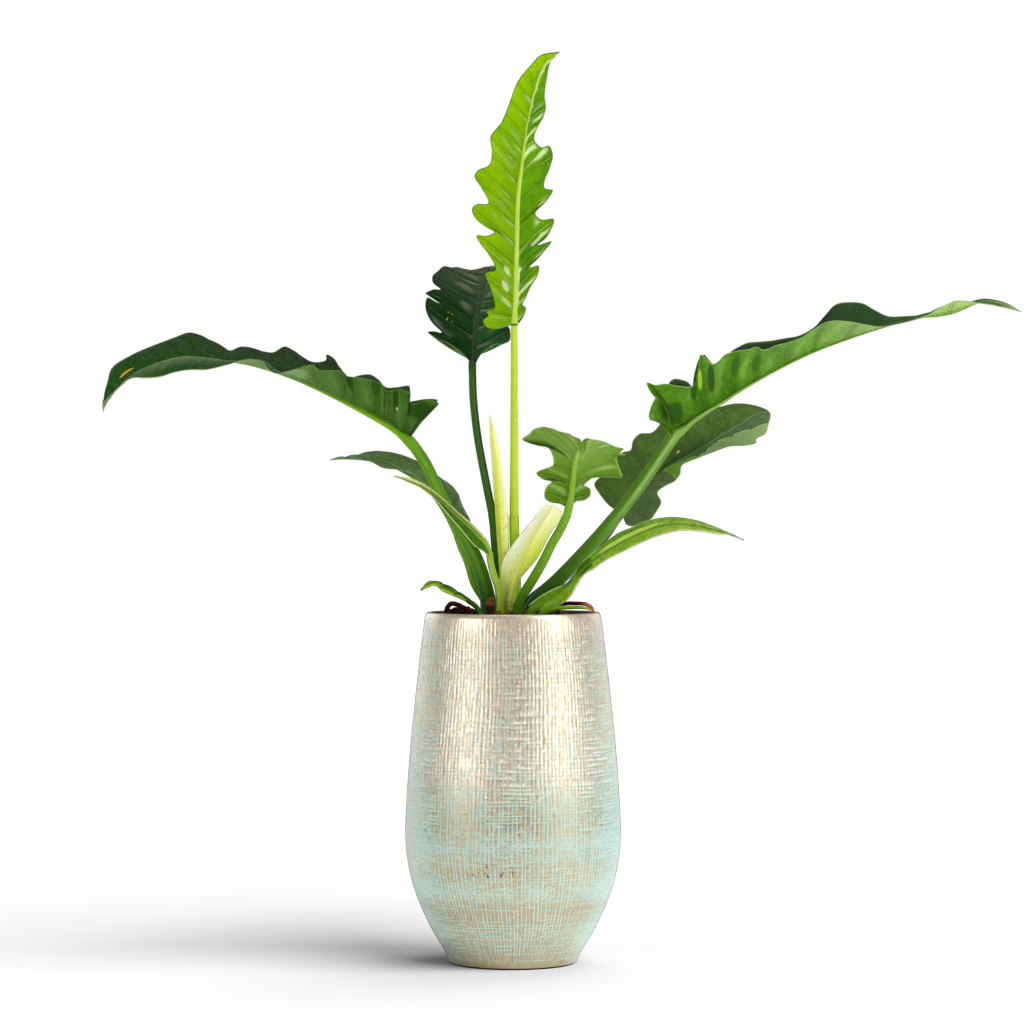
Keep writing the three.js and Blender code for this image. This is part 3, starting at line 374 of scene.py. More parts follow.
FRONT_RIGHT_STRAP = {
    "stalk": [[14, 297, -16], [15.5, 300, -17]],
    "radii": [4.4, 4],
    "rib": [(0, 3), (0.2, 1.6), (0.4, 0.9), (1, 0.3)],
    "quilt": 0.03,
    "vein_depth": 0.1,
    "midrib": [[17, 302, -18], [28, 309, -21], [40, 316, -25], [51, 326, -29], [60, 337, -32],
        [68, 343, -34], [78, 350, -38], [94, 360, -43], [111, 368, -48], [128, 374, -53], [147, 375, -57],
        [165, 372, -60], [179, 369, -62], [198, 362, -64]],
    "left": [[13, 306, -17], [24, 314, -18], [35, 320, -20], [46, 325, -23], [52, 332, -26], [57, 340, -28],
        [64, 347, -29], [75, 356, -30], [89, 367, -32], [103, 373, -36], [118, 379, -40], [130, 381, -44],
        [144, 381, -48], [160, 378, -52], [171, 374, -56], [183, 369, -60]],
    "right": [[23, 301, -21], [34, 304, -24], [43, 308, -27], [50, 315, -30], [56, 325, -33],
        [61, 332, -36], [69, 337, -40], [77, 343, -47], [94, 352, -54], [113, 361, -60], [129, 367, -64],
        [144, 370, -66], [164, 369, -66], [175, 367, -65], [187, 366, -64]],
}

# Thin shoot at the right: its middle line and its radius at the foot and at the tip
THIN_SHOOT = [[21, 285, -31], [21.5, 294, -31], [27, 300, -34], [37, 303.2, -35], [50, 304.2, -34],
    [60, 303.8, -32], [64, 303, -31], [67, 301.8, -31]]
THIN_SHOOT_RADII = [2.8, 0.8]
SHOOT_ROWS = 60
SHOOT_SIDES = 14
SHOOT_FLATNESS = 0.6

# Rows and columns of a dry strip
STRIP_ROWS = 90
STRIP_COLUMNS = 13
# Dry bits, each a curved flat strip: its middle line, the way its width lies, its width and thickness
CURLED_BARK = {
    "line": [[-58, 294.6, 12], [-57, 303, 10], [-53, 307.5, 8], [-46, 306, 6], [-40, 302.5, 4],
        [-36, 299.6, 3], [-33.5, 296.8, 2]],
    "across": (0, 1, 0),
    "width": 7,
    "thickness": 2.2,
}
DRY_STRIP = {
    "line": [[38, 295.6, -12], [39, 303, -13], [43, 307, -15], [55, 307.6, -20], [63, 306.8, -24],
        [67, 304.2, -25], [69.5, 300.4, -25]],
    "across": (0, 1, 0),
    "width": 5,
    "thickness": 1.8,
}
DRY_SCALE = {
    "line": [[-19.5, 297.2, -17], [-20, 303, -18], [-19.5, 309, -19], [-17.5, 312.5, -21]],
    "across": (1, 0, 0),
    "width": 7,
    "thickness": 1.2,
}


# Curves and places

def true_place(points):
    """The true places, in metres, of points of the front view."""
    points = np.array(points, float)
    scale = (EYE_DISTANCE + points[:, 2]) / EYE_DISTANCE
    height = EYE_HEIGHT + (points[:, 1] - EYE_HEIGHT) * scale
    return np.stack([points[:, 0] * scale, points[:, 2], height], axis=1) * MM


def read_off(where, places, points):
    """Points between given ones, read at these places."""
    return np.stack([np.interp(where, places, points[:, axis]) for axis in range(3)], axis=1)


def unit(vectors):
    """The same directions with length 1."""
    return vectors / np.maximum(np.linalg.norm(vectors, axis=-1, keepdims=True), 1e-12)


class Curve:
    """A smooth curve through points, read by point number or by distance along it."""

    def __init__(self, points, steps=16):
        points = np.asarray(points, float)
        ends = np.vstack([2 * points[0] - points[1], points, 2 * points[-1] - points[-2]])
        share = np.linspace(0, 1, steps, endpoint=False)[:, None]
        spans = []
        for before, start, end, after in zip(ends, ends[1:], ends[2:], ends[3:]):
            first, second, third = [max(np.linalg.norm(gap) ** 0.5, 1e-6)
                                    for gap in (start - before, end - start, after - end)]
            leave = (start - before) / first - (end - before) / (first + second) + (end - start) / second
            arrive = (end - start) / second - (after - start) / (second + third) + (after - end) / third
            cube, square = share ** 3, share ** 2
            spans.append((2 * cube - 3 * square + 1) * start + (cube - 2 * square + share) * leave * second
                         + (3 * square - 2 * cube) * end + (cube - square) * arrive * second)
        self.points = np.vstack(spans + [points[-1:]])
        self.numbers = np.linspace(0, len(points) - 1, len(self.points))
        gaps = np.linalg.norm(np.diff(self.points, axis=0), axis=1)
        self.distances = np.concatenate([[0], np.cumsum(gaps)])
        self.length = self.distances[-1]

    def at_number(self, number):
        return read_off(number, self.numbers, self.points)

    def at_distance(self, distance):
        return read_off(distance, self.distances, self.points)

    def along(self, distance):
        reach = self.length * 0.01
        ahead = self.at_distance(np.minimum(distance + reach, self.length))
        behind = self.at_distance(np.maximum(distance - reach, 0))
        return unit(ahead - behind)


def smoothed(rows, width):
    """Averages each row of directions with its neighbours."""
    kernel = np.hanning(2 * width + 3)[1:-1]
    padded = np.vstack([np.repeat(rows[:1], width, 0), rows, np.repeat(rows[-1:], width, 0)])
    mixed = [np.convolve(padded[:, axis], kernel, "valid") for axis in range(rows.shape[1])]
    return unit(np.stack(mixed, axis=1))


# Meshes

def grid_faces(rows, columns, closed):
    """Quads of a grid of rows of corners, each row closed round or open."""
    ahead = columns if closed else columns - 1
    row, column = np.meshgrid(np.arange(rows - 1), np.arange(ahead), indexing="ij")
    after = (column + 1) % columns
    corners = [row * columns + column, row * columns + after,
               (row + 1) * columns + after, (row + 1) * columns + column]
    return np.stack(corners, axis=-1).reshape(-1, 4)


class Build:
    """Collects grids of corners with their values, and makes one mesh of them."""

    def __init__(self, *values):
        self.values = {name: [] for name in values}
        self.corners = []
        self.faces = []
        self.finishes = []
        self.count = 0

    def add(self, corners, faces, finish=0, **values):
        self.corners.append(corners)
        for name, collected in self.values.items():
            collected.append(np.broadcast_to(values.get(name, 0.0), len(corners)))
        self.faces.extend((np.asarray(faces) + self.count).tolist())
        self.finishes.extend(np.broadcast_to(finish, len(faces)).tolist())
        self.count += len(corners)

    def cap(self, start, corners, finish=0, turned=False):
        """Closes a ring of corners that begins at this place."""
        ring = list(range(start, start + corners))
        self.faces.append(ring[::-1] if turned else ring)
        self.finishes.append(finish)

    def closed_rings(self, rings, finish=0, end_finish=0, flipped=False, **values):
        """Rings of corners, each joined to the next, with both ends closed."""
        count = rings.shape[1]
        faces = grid_faces(len(rings), count, closed=True)
        first = self.count
        self.add(rings.reshape(-1, 3), faces[:, ::-1] if flipped else faces, finish, **values)
        self.cap(first, count, end_finish, turned=not flipped)
        self.cap(self.count - count, count, end_finish, turned=flipped)

    def piece(self, name, materials):
        mesh = bpy.data.meshes.new(name)
        mesh.from_pydata(np.concatenate(self.corners).tolist(), [], self.faces)
        for value, collected in self.values.items():
            attribute = mesh.attributes.new(value, "FLOAT", "POINT")
            attribute.data.foreach_set("value", np.concatenate(collected).astype(np.float32))
        for material in materials:
            mesh.materials.append(material)
        mesh.polygons.foreach_set("material_index", np.array(self.finishes, dtype=np.int32))
        mesh.polygons.foreach_set("use_smooth", np.ones(len(mesh.polygons), dtype=bool))
        mesh.validate()
        piece = bpy.data.objects.new(name, mesh)
        bpy.context.scene.collection.objects.link(piece)
        return piece


def hand_in(piece, node):
    """Puts a piece in the place of a node of the frame."""
    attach(piece, "root")
    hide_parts(node)


# Materials

def rgb(red, green, blue):
    """A display colour, from 0 to 255, as the shader takes it."""
    def linear(value):
        value = value / 255
        return value / 12.92 if value <= 0.04045 else ((value + 0.055) / 1.055) ** 2.4
    return (linear(red), linear(green), linear(blue), 1.0)


class Material:
    """A node material that is put together in short calls."""

    def __init__(self, name, roughness=0.5, specular=0.4, coat=0.0, coat_roughness=0.2):
        self.material = bpy.data.materials.new(name)
        self.material.use_nodes = True
        self.nodes = self.material.node_tree.nodes
        self.shader = self.nodes["Principled BSDF"]
        self.set("Roughness", roughness)
        self.set("Specular IOR Level", specular)
        self.set("Coat Weight", coat)
        self.set("Coat Roughness", coat_roughness)

    def put(self, socket, value):
        if isinstance(value, bpy.types.NodeSocket):
            self.material.node_tree.links.new(value, socket)
        else:
            socket.default_value = value

    def set(self, name, value):
        self.put(self.shader.inputs[name], value)

    def value(self, name):
        node = self.nodes.new("ShaderNodeAttribute")
        node.attribute_name = name
        return node.outputs["Fac"]

    def place(self, scale=(1, 1, 1)):
        """Object coordinates, stretched along the axes."""
        node = self.nodes.new("ShaderNodeMapping")
        self.put(node.inputs["Vector"], self.nodes.new("ShaderNodeTexCoord").outputs["Object"])
        node.inputs["Scale"].default_value = scale
        return node.outputs["Vector"]

    def join(self, x, y, z=0.0):
        """A place from three values."""
        node = self.nodes.new("ShaderNodeCombineXYZ")
        for socket, value in zip(node.inputs, (x, y, z)):
            self.put(socket, value)
        return node.outputs[0]

    def product(self, *factors):
        return functools.reduce(lambda done, factor: self.calc("MULTIPLY", done, factor), factors)

    def sum(self, *terms):
        return functools.reduce(lambda done, term: self.calc("ADD", done, term), terms)

    def off(self, value, middle):
        """How far a value is from a middle one."""
        return self.calc("ABSOLUTE", self.calc("SUBTRACT", value, middle))

    def noise(self, where, scale, detail=2.0, roughness=0.5):
        node = self.nodes.new("ShaderNodeTexNoise")
        self.put(node.inputs["Vector"], where)
        node.inputs["Scale"].default_value = scale
        node.inputs["Detail"].default_value = detail
        node.inputs["Roughness"].default_value = roughness
        return node.outputs["Fac"]

    def cells(self, where, scale):
        """The distance from the edges of a net of cells."""
        node = self.nodes.new("ShaderNodeTexVoronoi")
        node.feature = "DISTANCE_TO_EDGE"
        self.put(node.inputs["Vector"], where)
        node.inputs["Scale"].default_value = scale
        return node.outputs["Distance"]

    def calc(self, operation, first, second=0.0):
        node = self.nodes.new("ShaderNodeMath")
        node.operation = operation
        for socket, value in zip(node.inputs, (first, second)):
            self.put(socket, value)
        return node.outputs[0]

    def step(self, value, start, end, low=0.0, high=1.0):
        """Goes smoothly from low to high as the value goes from start to end."""
        node = self.nodes.new("ShaderNodeMapRange")
        node.interpolation_type = "SMOOTHSTEP"
        for socket, number in zip(node.inputs, (value, start, end, low, high)):
            self.put(socket, number)
        return node.outputs["Result"]

    def mix(self, share, first, second):
        """From the first colour to the second, each a socket or a display colour."""
        node = self.nodes.new("ShaderNodeMix")
        node.data_type = "RGBA"
        self.put(node.inputs["Factor"], share)
        for socket, colour in ((node.inputs[6], first), (node.inputs[7], second)):
            self.put(socket, colour if isinstance(colour, bpy.types.NodeSocket) else rgb(*colour))
        return node.outputs[2]

    def bump(self, height, distance, strength):
        node = self.nodes.new("ShaderNodeBump")
        self.put(node.inputs["Strength"], strength)
        node.inputs["Distance"].default_value = distance
        self.put(node.inputs["Height"], height)
        return node.outputs["Normal"]


# Leaf meshes

def vein_starts(edge, midrib, sweep):
    """How far along the midrib the side vein of each margin point starts."""
    samples = np.linspace(0, midrib.length, MIDRIB_SAMPLES)
    gaps = np.linalg.norm(edge[:, None] - midrib.at_distance(samples)[None], axis=2)
    starts = samples[gaps.argmin(axis=1)] - sweep * gaps.min(axis=1)
    least = LEAST_ROW_STEP * MM
    for i in range(len(starts)):
        starts[i] = max(starts[i], least if i == 0 else starts[i - 1] + least)
    most = midrib.length - least
    for i in reversed(range(len(starts))):
        starts[i] = min(starts[i], most)
        most = starts[i] - least
    return starts


def side_veins(edge, starts, middle, spacing):
    """Point numbers of the side veins: one to every lobe, and more where the next is far."""
    reach = np.linalg.norm(edge - middle, axis=1)
    last = len(edge) - 1
    lobes = [i for i in range(1, last) if reach[i] > reach[i - 1] and reach[i] >= reach[i + 1]]
    lobes = [0.0] + [float(i) for i in lobes] + [float(last)]
    veins = []
    for number, after in zip(lobes, lobes[1:]):
        gap = np.interp(after, range(len(starts)), starts) - np.interp(number, range(len(starts)), starts)
        parts = max(1, round(gap / (spacing * MM)))
        veins.extend(number + (after - number) * part / parts for part in range(parts))
    return np.array(veins + [float(last)])


def margin_numbers(curve, veins):
    """Point numbers of the rows of a blade's side: close steps along the margin, and every vein."""
    rows = max(LEAST_ROWS, int(curve.length / (ROW_STEP * MM)))
    numbers = np.interp(np.linspace(0, curve.length, rows), curve.distances, curve.numbers)
    for vein in veins:
        numbers[np.abs(numbers - vein).argmin()] = vein
    return np.unique(numbers)


SHARES = np.array([0, 0.03, 0.07, 0.12, 0.18, 0.25, 0.33, 0.41, 0.5, 0.59, 0.68, 0.76, 0.84, 0.9, 0.95, 1])


def blade_side(build, leaf, midrib, side, chance):
    """One side of a blade, as a thin closed slab that follows its side veins. Returns its faces' up."""
    hand = 1 if side == "left" else -1
    edge = np.vstack([true_place(leaf[side]), midrib.points[-1:]])
    starts = vein_starts(edge[:-1], midrib, leaf.get("sweep", SIDE_VEIN_SWEEP))
    starts = np.append(starts, midrib.length - 0.2 * MM)
    margin = Curve(edge)
    veins = side_veins(edge, starts, midrib.at_distance(starts), leaf.get("vein_spacing", VEIN_SPACING))
    numbers = margin_numbers(margin, veins)
    place = np.interp(numbers, range(len(starts)), starts)
    middle = midrib.at_distance(place)
    rim = margin.at_number(numbers)
    out = rim - middle
    width = np.linalg.norm(out, axis=1)
    width_mm = width / MM
    up = unit(np.cross(midrib.along(place), out)) * hand
    up = smoothed(up, int(SMOOTHED_OVER / ROW_STEP))

    rows = np.searchsorted(numbers, veins)
    lines = middle[:, None] + out[:, None] * SHARES[None, :, None]
    before = rows[np.clip(np.searchsorted(rows, np.arange(len(numbers)), "right") - 1, 0, len(rows) - 2)]
    after = rows[np.clip(np.searchsorted(rows, np.arange(len(numbers)), "right"), 1, len(rows) - 1)]
    behind = np.linalg.norm(lines - lines[before], axis=2) / MM
    ahead = np.linalg.norm(lines - lines[after], axis=2) / MM
    between = behind / np.maximum(behind + ahead, 1e-9)
    nearest = np.minimum(behind, ahead)
    swell = np.array([0.75 + 0.5 * chance.random() for _ in numbers])[before][:, None]

    share = SHARES[None, :]
    camber = leaf.get("camber", BLADE_CAMBER) * width[:, None] * 4 * share * (1 - share)
    window = np.clip(share / QUILT_FROM_RIB, 0, 1) * np.clip((1 - share) / QUILT_FROM_MARGIN, 0, 1)
    room = np.minimum(behind + ahead, MOST_QUILT_ROOM) * MM
    quilt = leaf.get("quilt", BLADE_QUILT) * room * 4 * between * (1 - between) * window * swell
    crease = np.exp(-((nearest / VEIN_HALF_WIDTH) ** 2)) * np.clip((1 - share) / VEIN_FADE, LEAST_VEIN, 1)
    groove = leaf.get("vein_depth", VEIN_DEPTH) * MM * crease
    rib_groove = RIB_CREASE_DEPTH * MM * np.exp(-((share * width_mm[:, None] / RIB_CREASE_HALF_WIDTH) ** 2))
    half = LEAF_THICKNESS / 2 * MM * np.clip((1 - share) * MARGIN_THICKENING + MARGIN_SHARE, 0, 1)

    top = lines + up[:, None] * (camber + quilt - groove - rib_groove + half)[..., None]
    below = lines + up[:, None] * (camber + quilt - groove - half)[..., None]
    tip = lines[:, -1] + unit(out) * (LEAF_THICKNESS / 2 * MM)
    ring = np.concatenate([top, tip[:, None], below[:, ::-1]], axis=1)
    count = ring.shape[1]
    spread = np.concatenate([np.arange(len(SHARES)), [len(SHARES) - 1], np.arange(len(SHARES))[::-1]])
    column = np.arange((len(numbers) - 1) * count) % count
    build.closed_rings(
        ring, np.where(column < len(SHARES), 0, 1), end_finish=1, flipped=hand > 0,
        along=np.repeat(place / midrib.length, count),
        across=(share * width_mm[:, None])[:, spread].ravel(),
        edge=((1 - share) * width_mm[:, None])[:, spread].ravel(),
        vein=nearest[:, spread].ravel(),
        between=between[:, spread].ravel(),
        side=float(hand),
    )
    return place, up


def tube(build, centres, ups, half_widths, half_heights, sides, finish, **values):
    """A closed tube of oval rings, turned so that each ring's top faces up."""
    along = unit(np.gradient(centres, axis=0))
    ups = unit(ups - along * np.sum(ups * along, axis=1, keepdims=True))
    across = np.cross(ups, along)
    angle = np.linspace(0, 2 * math.pi, sides, endpoint=False)
    rings = (centres[:, None] + across[:, None] * (np.cos(angle)[None] * half_widths[:, None])[..., None]
             + ups[:, None] * (np.sin(angle)[None] * half_heights[:, None])[..., None])
    spread = {name: np.repeat(np.broadcast_to(value, len(centres)), sides)
              for name, value in values.items()}
    spread["round"] = np.tile(np.sin(angle), len(centres))
    spread["flat"] = np.tile(np.cos(angle), len(centres))
    build.closed_rings(rings, finish, finish, **spread)


def stalk_and_rib(build, leaf, midrib, place, up):
    """The stalk, and the rib below the blade that it runs into, as one tube."""
    path = Curve(true_place(leaf["stalk"]))
    foot, top = leaf["radii"]
    steps = max(LEAST_ROWS, int(path.length / (TUBE_STEP * MM)))
    share = np.linspace(0, 1, steps, endpoint=False)
    stalk = path.at_distance(share * path.length)
    stalk_radius = foot + (top - foot) * np.sqrt(share)
    blade_steps = max(LEAST_ROWS, int(midrib.length / (TUBE_STEP * MM)))
    where = np.linspace(0, 1, blade_steps)
    rib = LEAST_RIB + (top * RIB_START - LEAST_RIB) * (1 - where) ** RIB_TAPER
    if "rib" in leaf:
        rib = np.interp(where, *zip(*leaf["rib"]))
    ups = np.stack([np.interp(where * midrib.length, place, up[:, axis]) for axis in range(3)], axis=1)
    sunk = np.clip(where * midrib.length / (SINK_OVER * MM), 0, 1)
    sunk = sunk * sunk * (3 - 2 * sunk)
    drop = (rib * 0.75 - LEAF_THICKNESS / 2) * sunk
    ribs = midrib.at_distance(where * midrib.length) - unit(ups) * (drop * MM)[:, None]
    width = np.concatenate([stalk_radius, rib + (top - rib) * (1 - sunk)])
    height = np.concatenate([stalk_radius, rib * 0.75 + (top - rib * 0.75) * (1 - sunk)])
    joint = np.concatenate([(share - 1) * path.length, where * midrib.length]) / MM
    swell = 1 + 0.05 * np.exp(-(joint / 2.5) ** 2)
    tube(
        build, np.vstack([stalk, ribs]), np.vstack([np.repeat(ups[:1], steps, 0), ups]),
        width * swell * MM, height * swell * MM, TUBE_SIDES, 2,
        along=np.concatenate([share - 1, where]), joint=joint,
    )


def leaf_piece(name, leaf, materials, seed):
    """A whole leaf: both sides of the blade, the stalk and the rib."""
    chance = random.Random(seed)
    build = Build("along", "across", "edge", "vein", "between", "side", "joint", "round", "flat")
    midrib = Curve(true_place(leaf["midrib"]))
    place, up_left = blade_side(build, leaf, midrib, "left", chance)
    other, up_right = blade_side(build, leaf, midrib, "right", chance)
    matched = np.stack([np.interp(place, other, up_right[:, axis]) for axis in range(3)], axis=1)
    stalk_and_rib(build, leaf, midrib, place, unit(up_left + matched))
    return build.piece(name, materials)


# Leaf materials

def tent(m, value, start, peak, end):
    """Rises from 0 at the start to 1 at the peak, and falls to 0 at the end."""
    rise = m.calc("DIVIDE", m.calc("SUBTRACT", value, start), peak - start)
    fall = m.calc("DIVIDE", m.calc("SUBTRACT", end, value), end - peak)
    return m.calc("MAXIMUM", m.calc("MINIMUM", rise, fall), 0.0)


def blade_face(name, base, second, vein, rib, margin, other=None, tip=None, tip_from=0.35, bands=(),
               folds=(), flecks=(), painted_gloss=None, streak=None, veins=0.8, vein_width=0.7, rib_width=1.6,
               quilt_shade=0.2, mottle=0.3, roughness=0.42, shine=0.08, net=0.25):
    """One face of a blade.

    base and second mottle it, and other gives the same two for the half on its right. bands are
    (attribute, half, reach in mm, colour, strength), folds (half, start, peak, end, width in mm, colour),
    flecks (half, place along, half length, place across, half width, colour), and painted_gloss and streak
    (colour, strength on the left, strength on the right). painted_gloss paints highlights on one flank of
    each quilt, and streak paints highlight lines beside the side veins; quilt_shade paints shade in the
    valleys at the side veins.
    """
    m = Material(name, roughness, specular=shine)
    where = m.place()
    along, across, edge, between = [m.value(value) for value in ("along", "across", "edge", "between")]
    right = m.step(m.value("side"), 0.2, -0.2)
    halves = {"left": m.calc("SUBTRACT", 1.0, right), "right": right, "both": 1.0}
    cloud = m.step(m.noise(where, 30, 3, 0.6), 0.35, 0.65)
    colour = m.mix(cloud, base, second)
    if other is not None:
        colour = m.mix(right, colour, m.mix(cloud, other[0], other[1]))
    if tip is not None:
        colour = m.mix(m.step(along, tip_from, 1.0), colour, tip)
    for value, half, reach, tint, strength in bands:
        near = m.step(m.value(value), reach, 0.0, 0, strength)
        colour = m.mix(m.product(near, halves[half]), colour, tint)
    dark = [0.55 * part for part in base]
    light = [min(255, 1.3 * part + 16) for part in base]
    blotch = m.noise(where, 260, 4, 0.7)
    colour = m.mix(m.step(blotch, 0.5, 0.68, 0, mottle), colour, light)
    colour = m.mix(m.step(blotch, 0.5, 0.34, 0, mottle), colour, dark)
    # Painted shade: darker in the valleys between the quilts, at the side veins.
    valley_shade = m.step(m.off(between, 0.5), 0.3, 0.5, 0, quilt_shade)
    colour = m.mix(valley_shade, colour, dark)
    share = m.calc("DIVIDE", across, m.sum(across, edge, 0.01))
    # Painted gloss highlights: a pale tint on one flank of each quilt.
    if painted_gloss is not None:
        tint, on_left, on_right = painted_gloss
        ridge = m.sum(0.3, m.product(share, 0.35))
        ridge = m.sum(ridge, m.product(m.calc("SUBTRACT", m.noise(where, 90, 2), 0.5), 0.35))
        off = m.off(between, ridge)
        highlight_flank = m.product(m.step(off, 0.24, 0.06), m.step(share, 0.05, 0.3), m.step(share, 1.0, 0.85),
                          m.step(m.noise(where, 24, 2), 0.44, 0.56), m.step(along, 0.85, 0.65))
        amount = m.sum(m.product(halves["left"], on_left), m.product(right, on_right))
        colour = m.mix(m.product(highlight_flank, amount), colour, tint)
    # Painted highlight streaks: a pale tint in thin lines beside the side veins.
    if streak is not None:
        tint, on_left, on_right = streak
        line = m.product(m.step(between, 0.74, 0.9), m.step(share, 0.02, 0.14), m.step(share, 0.6, 0.2),
                         m.step(m.noise(where, 34, 2), 0.46, 0.58))
        amount = m.sum(m.product(halves["left"], on_left), m.product(right, on_right))
        colour = m.mix(m.product(line, amount), colour, tint)
    wander = m.product(m.noise(where, 240, 2), 0.5)
    line = m.step(m.sum(m.value("vein"), wander), 0.2 + vein_width, 0.2)
    line = m.product(line, m.step(edge, 0.5, 12, 0.2, 1.0), veins)
    colour = m.mix(line, colour, vein)
    colour = m.mix(m.step(across, rib_width, rib_width * 0.45), colour, rib)
    for half, begin, peak, end, width, tint in folds:
        over = m.calc("SUBTRACT", m.product(tent(m, along, begin, peak, end), width), edge)
        colour = m.mix(m.product(m.step(over, -0.2, 0.2), halves[half]), colour, tint)
        rim = m.product(m.step(m.calc("ABSOLUTE", over), 0.8, 0.2, 0, 0.7),
                        m.step(tent(m, along, begin, peak, end), 0, 0.1))
        colour = m.mix(m.product(rim, halves[half]), colour, [min(255, part + 50) for part in tint])
    for half, place, reach, aside, width, tint in flecks:
        lengthwise = m.step(m.off(along, place), reach, 0.0)
        sideways = m.step(m.off(across, aside), width, 0.0)
        spot = m.step(m.product(lengthwise, sideways), 0.05, 0.5)
        colour = m.mix(m.product(spot, halves[half]), colour, tint)
    colour = m.mix(m.step(edge, 0.8, 0.2, 0, 0.85), colour, margin)
    m.set("Base Color", colour)
    m.set("Roughness", m.step(m.noise(where, 60, 2), 0.3, 0.7, roughness - 0.05, roughness + 0.08))
    cell = m.step(m.cells(where, 420), 0.0, 0.12)
    fine = m.sum(m.product(cell, net), m.product(m.noise(where, 700, 2), 0.5))
    m.set("Normal", m.bump(fine, 0.0003, m.step(edge, 0.3, 3, 0, 0.5)))
    return m.material


def sheath_face(name, left_edge, middle, right_edge, tip, streaks, specks, foot):
    """A sheath: pale, shaded between its margins and towards its foot, with fine lengthwise streaks."""
    m = Material(name, 0.5, specular=0.22)
    along, across, edge = m.value("along"), m.value("across"), m.value("edge")
    place = m.product(across, m.value("side"))
    lean = m.calc("DIVIDE", place, m.sum(across, edge, 0.01))
    colour = m.mix(m.step(lean, -0.9, 0.0), right_edge, middle)
    colour = m.mix(m.step(lean, 0.2, 0.95), colour, left_edge)
    colour = m.mix(m.step(along, 0.45, 1.0, 0, 0.8), colour, tip)
    colour = m.mix(m.step(along, 0.5, 0.1, 0, 0.85), colour, foot)
    fibre = m.noise(m.join(place, m.product(along, 3.0)), 1.4, 3, 0.65)
    colour = m.mix(m.step(fibre, 0.48, 0.68, 0, 0.5), colour, streaks)
    tint, start, end = specks
    spot = m.step(m.noise(m.place((1, 1, 0.5)), 1000, 2), 0.54, 0.66)
    zone = m.step(tent(m, along, start, (start + end) / 2, end), 0.05, 0.5)
    colour = m.mix(m.product(spot, zone, 0.6), colour, tint)
    m.set("Base Color", colour)
    m.set("Normal", m.bump(fibre, 0.0003, 0.4))
    return m.material


def stalk_face(name, foot, middle, rib, ring=None, end=None, side=None, side_from=-1.0, shaded=None):
    """A stalk that changes colour from its foot to the blade and on along the rib, with fine streaks.

    side is the colour of both its sides from side_from on, and shaded is (colour, 1 or -1 for the side).
    """
    m = Material(name, 0.42, specular=0.12)
    along, joint, around = m.value("along"), m.value("joint"), m.value("round")
    where = m.join(m.value("flat"), around, m.product(joint, 0.012))
    colour = m.mix(m.step(along, -1.0, -0.4), foot, middle)
    colour = m.mix(m.step(joint, -14, 8), colour, rib)
    if end is not None:
        colour = m.mix(m.step(along, 0.25, 1.0), colour, end)
    if side is not None:
        flat = m.step(m.calc("ABSOLUTE", around), 0.5, 0.1)
        reach = m.product(m.step(along, 0.5, 0.1), m.step(along, side_from, side_from + 0.4))
        colour = m.mix(m.product(flat, reach, 0.7), colour, side)
    if shaded is not None:
        tint, hand = shaded
        colour = m.mix(m.step(m.value("flat"), 0.1 * hand, 0.45 * hand), colour, tint)
    streak = m.step(m.noise(where, 7, 3, 0.6), 0.42, 0.7, 0, 0.3)
    colour = m.mix(streak, colour, [0.62 * part for part in middle])
    pale = m.step(m.noise(m.place((1, 1, 0.4)), 700, 2), 0.58, 0.7, 0, 0.15)
    colour = m.mix(pale, colour, [min(255, 1.3 * part + 25) for part in middle])
    if ring is not None:
        band = m.step(m.calc("ABSOLUTE", joint), 1.0, 0.4)
        colour = m.mix(band, colour, ring)
    m.set("Base Color", colour)
    m.set("Normal", m.bump(m.noise(where, 9, 2), 0.0003, 0.3))
    return m.material


def lime_look():
    upper = blade_face(
        "lime_upper", (120, 176, 4), (100, 158, 4), (190, 215, 90), (215, 235, 110), (80, 130, 10))
    # Painted light and shade on the lower face: its left half darker and its right half lighter. Its
    # painted_gloss and streak are painted highlights, and the pale flecks near the base are painted gloss
    # highlights.
    lower = blade_face(
        "lime_lower", (72, 126, 0), (98, 150, 2), (168, 200, 70), (200, 224, 90), (40, 90, 6),
        other=((146, 194, 0), (126, 180, 0)), painted_gloss=((206, 226, 158), 0.85, 0.15),
        streak=((240, 246, 220), 0.2, 0.4), veins=0.3, rib_width=0.8, mottle=0.2, quilt_shade=0.3,
        roughness=0.36, net=0.1, shine=0.03, flecks=[("left", 0.15, 0.05, 8, 6, (206, 222, 170)),
        ("left", 0.08, 0.04, 7, 6, (206, 222, 170)), ("right", 0.16, 0.022, 12, 6, (222, 236, 170)),
        ("right", 0.1, 0.022, 14, 7, (222, 236, 170)), ("right", 0.05, 0.012, 12, 10, (204, 228, 130)),
        ("left", 0.85, 0.2, 3.6, 4.6, (176, 202, 110))])
    stalk = stalk_face(
        "lime_stalk", (150, 192, 30), (196, 222, 56), (190, 216, 84), ring=(50, 120, 6),
        end=(158, 198, 56))
    return upper, lower, stalk


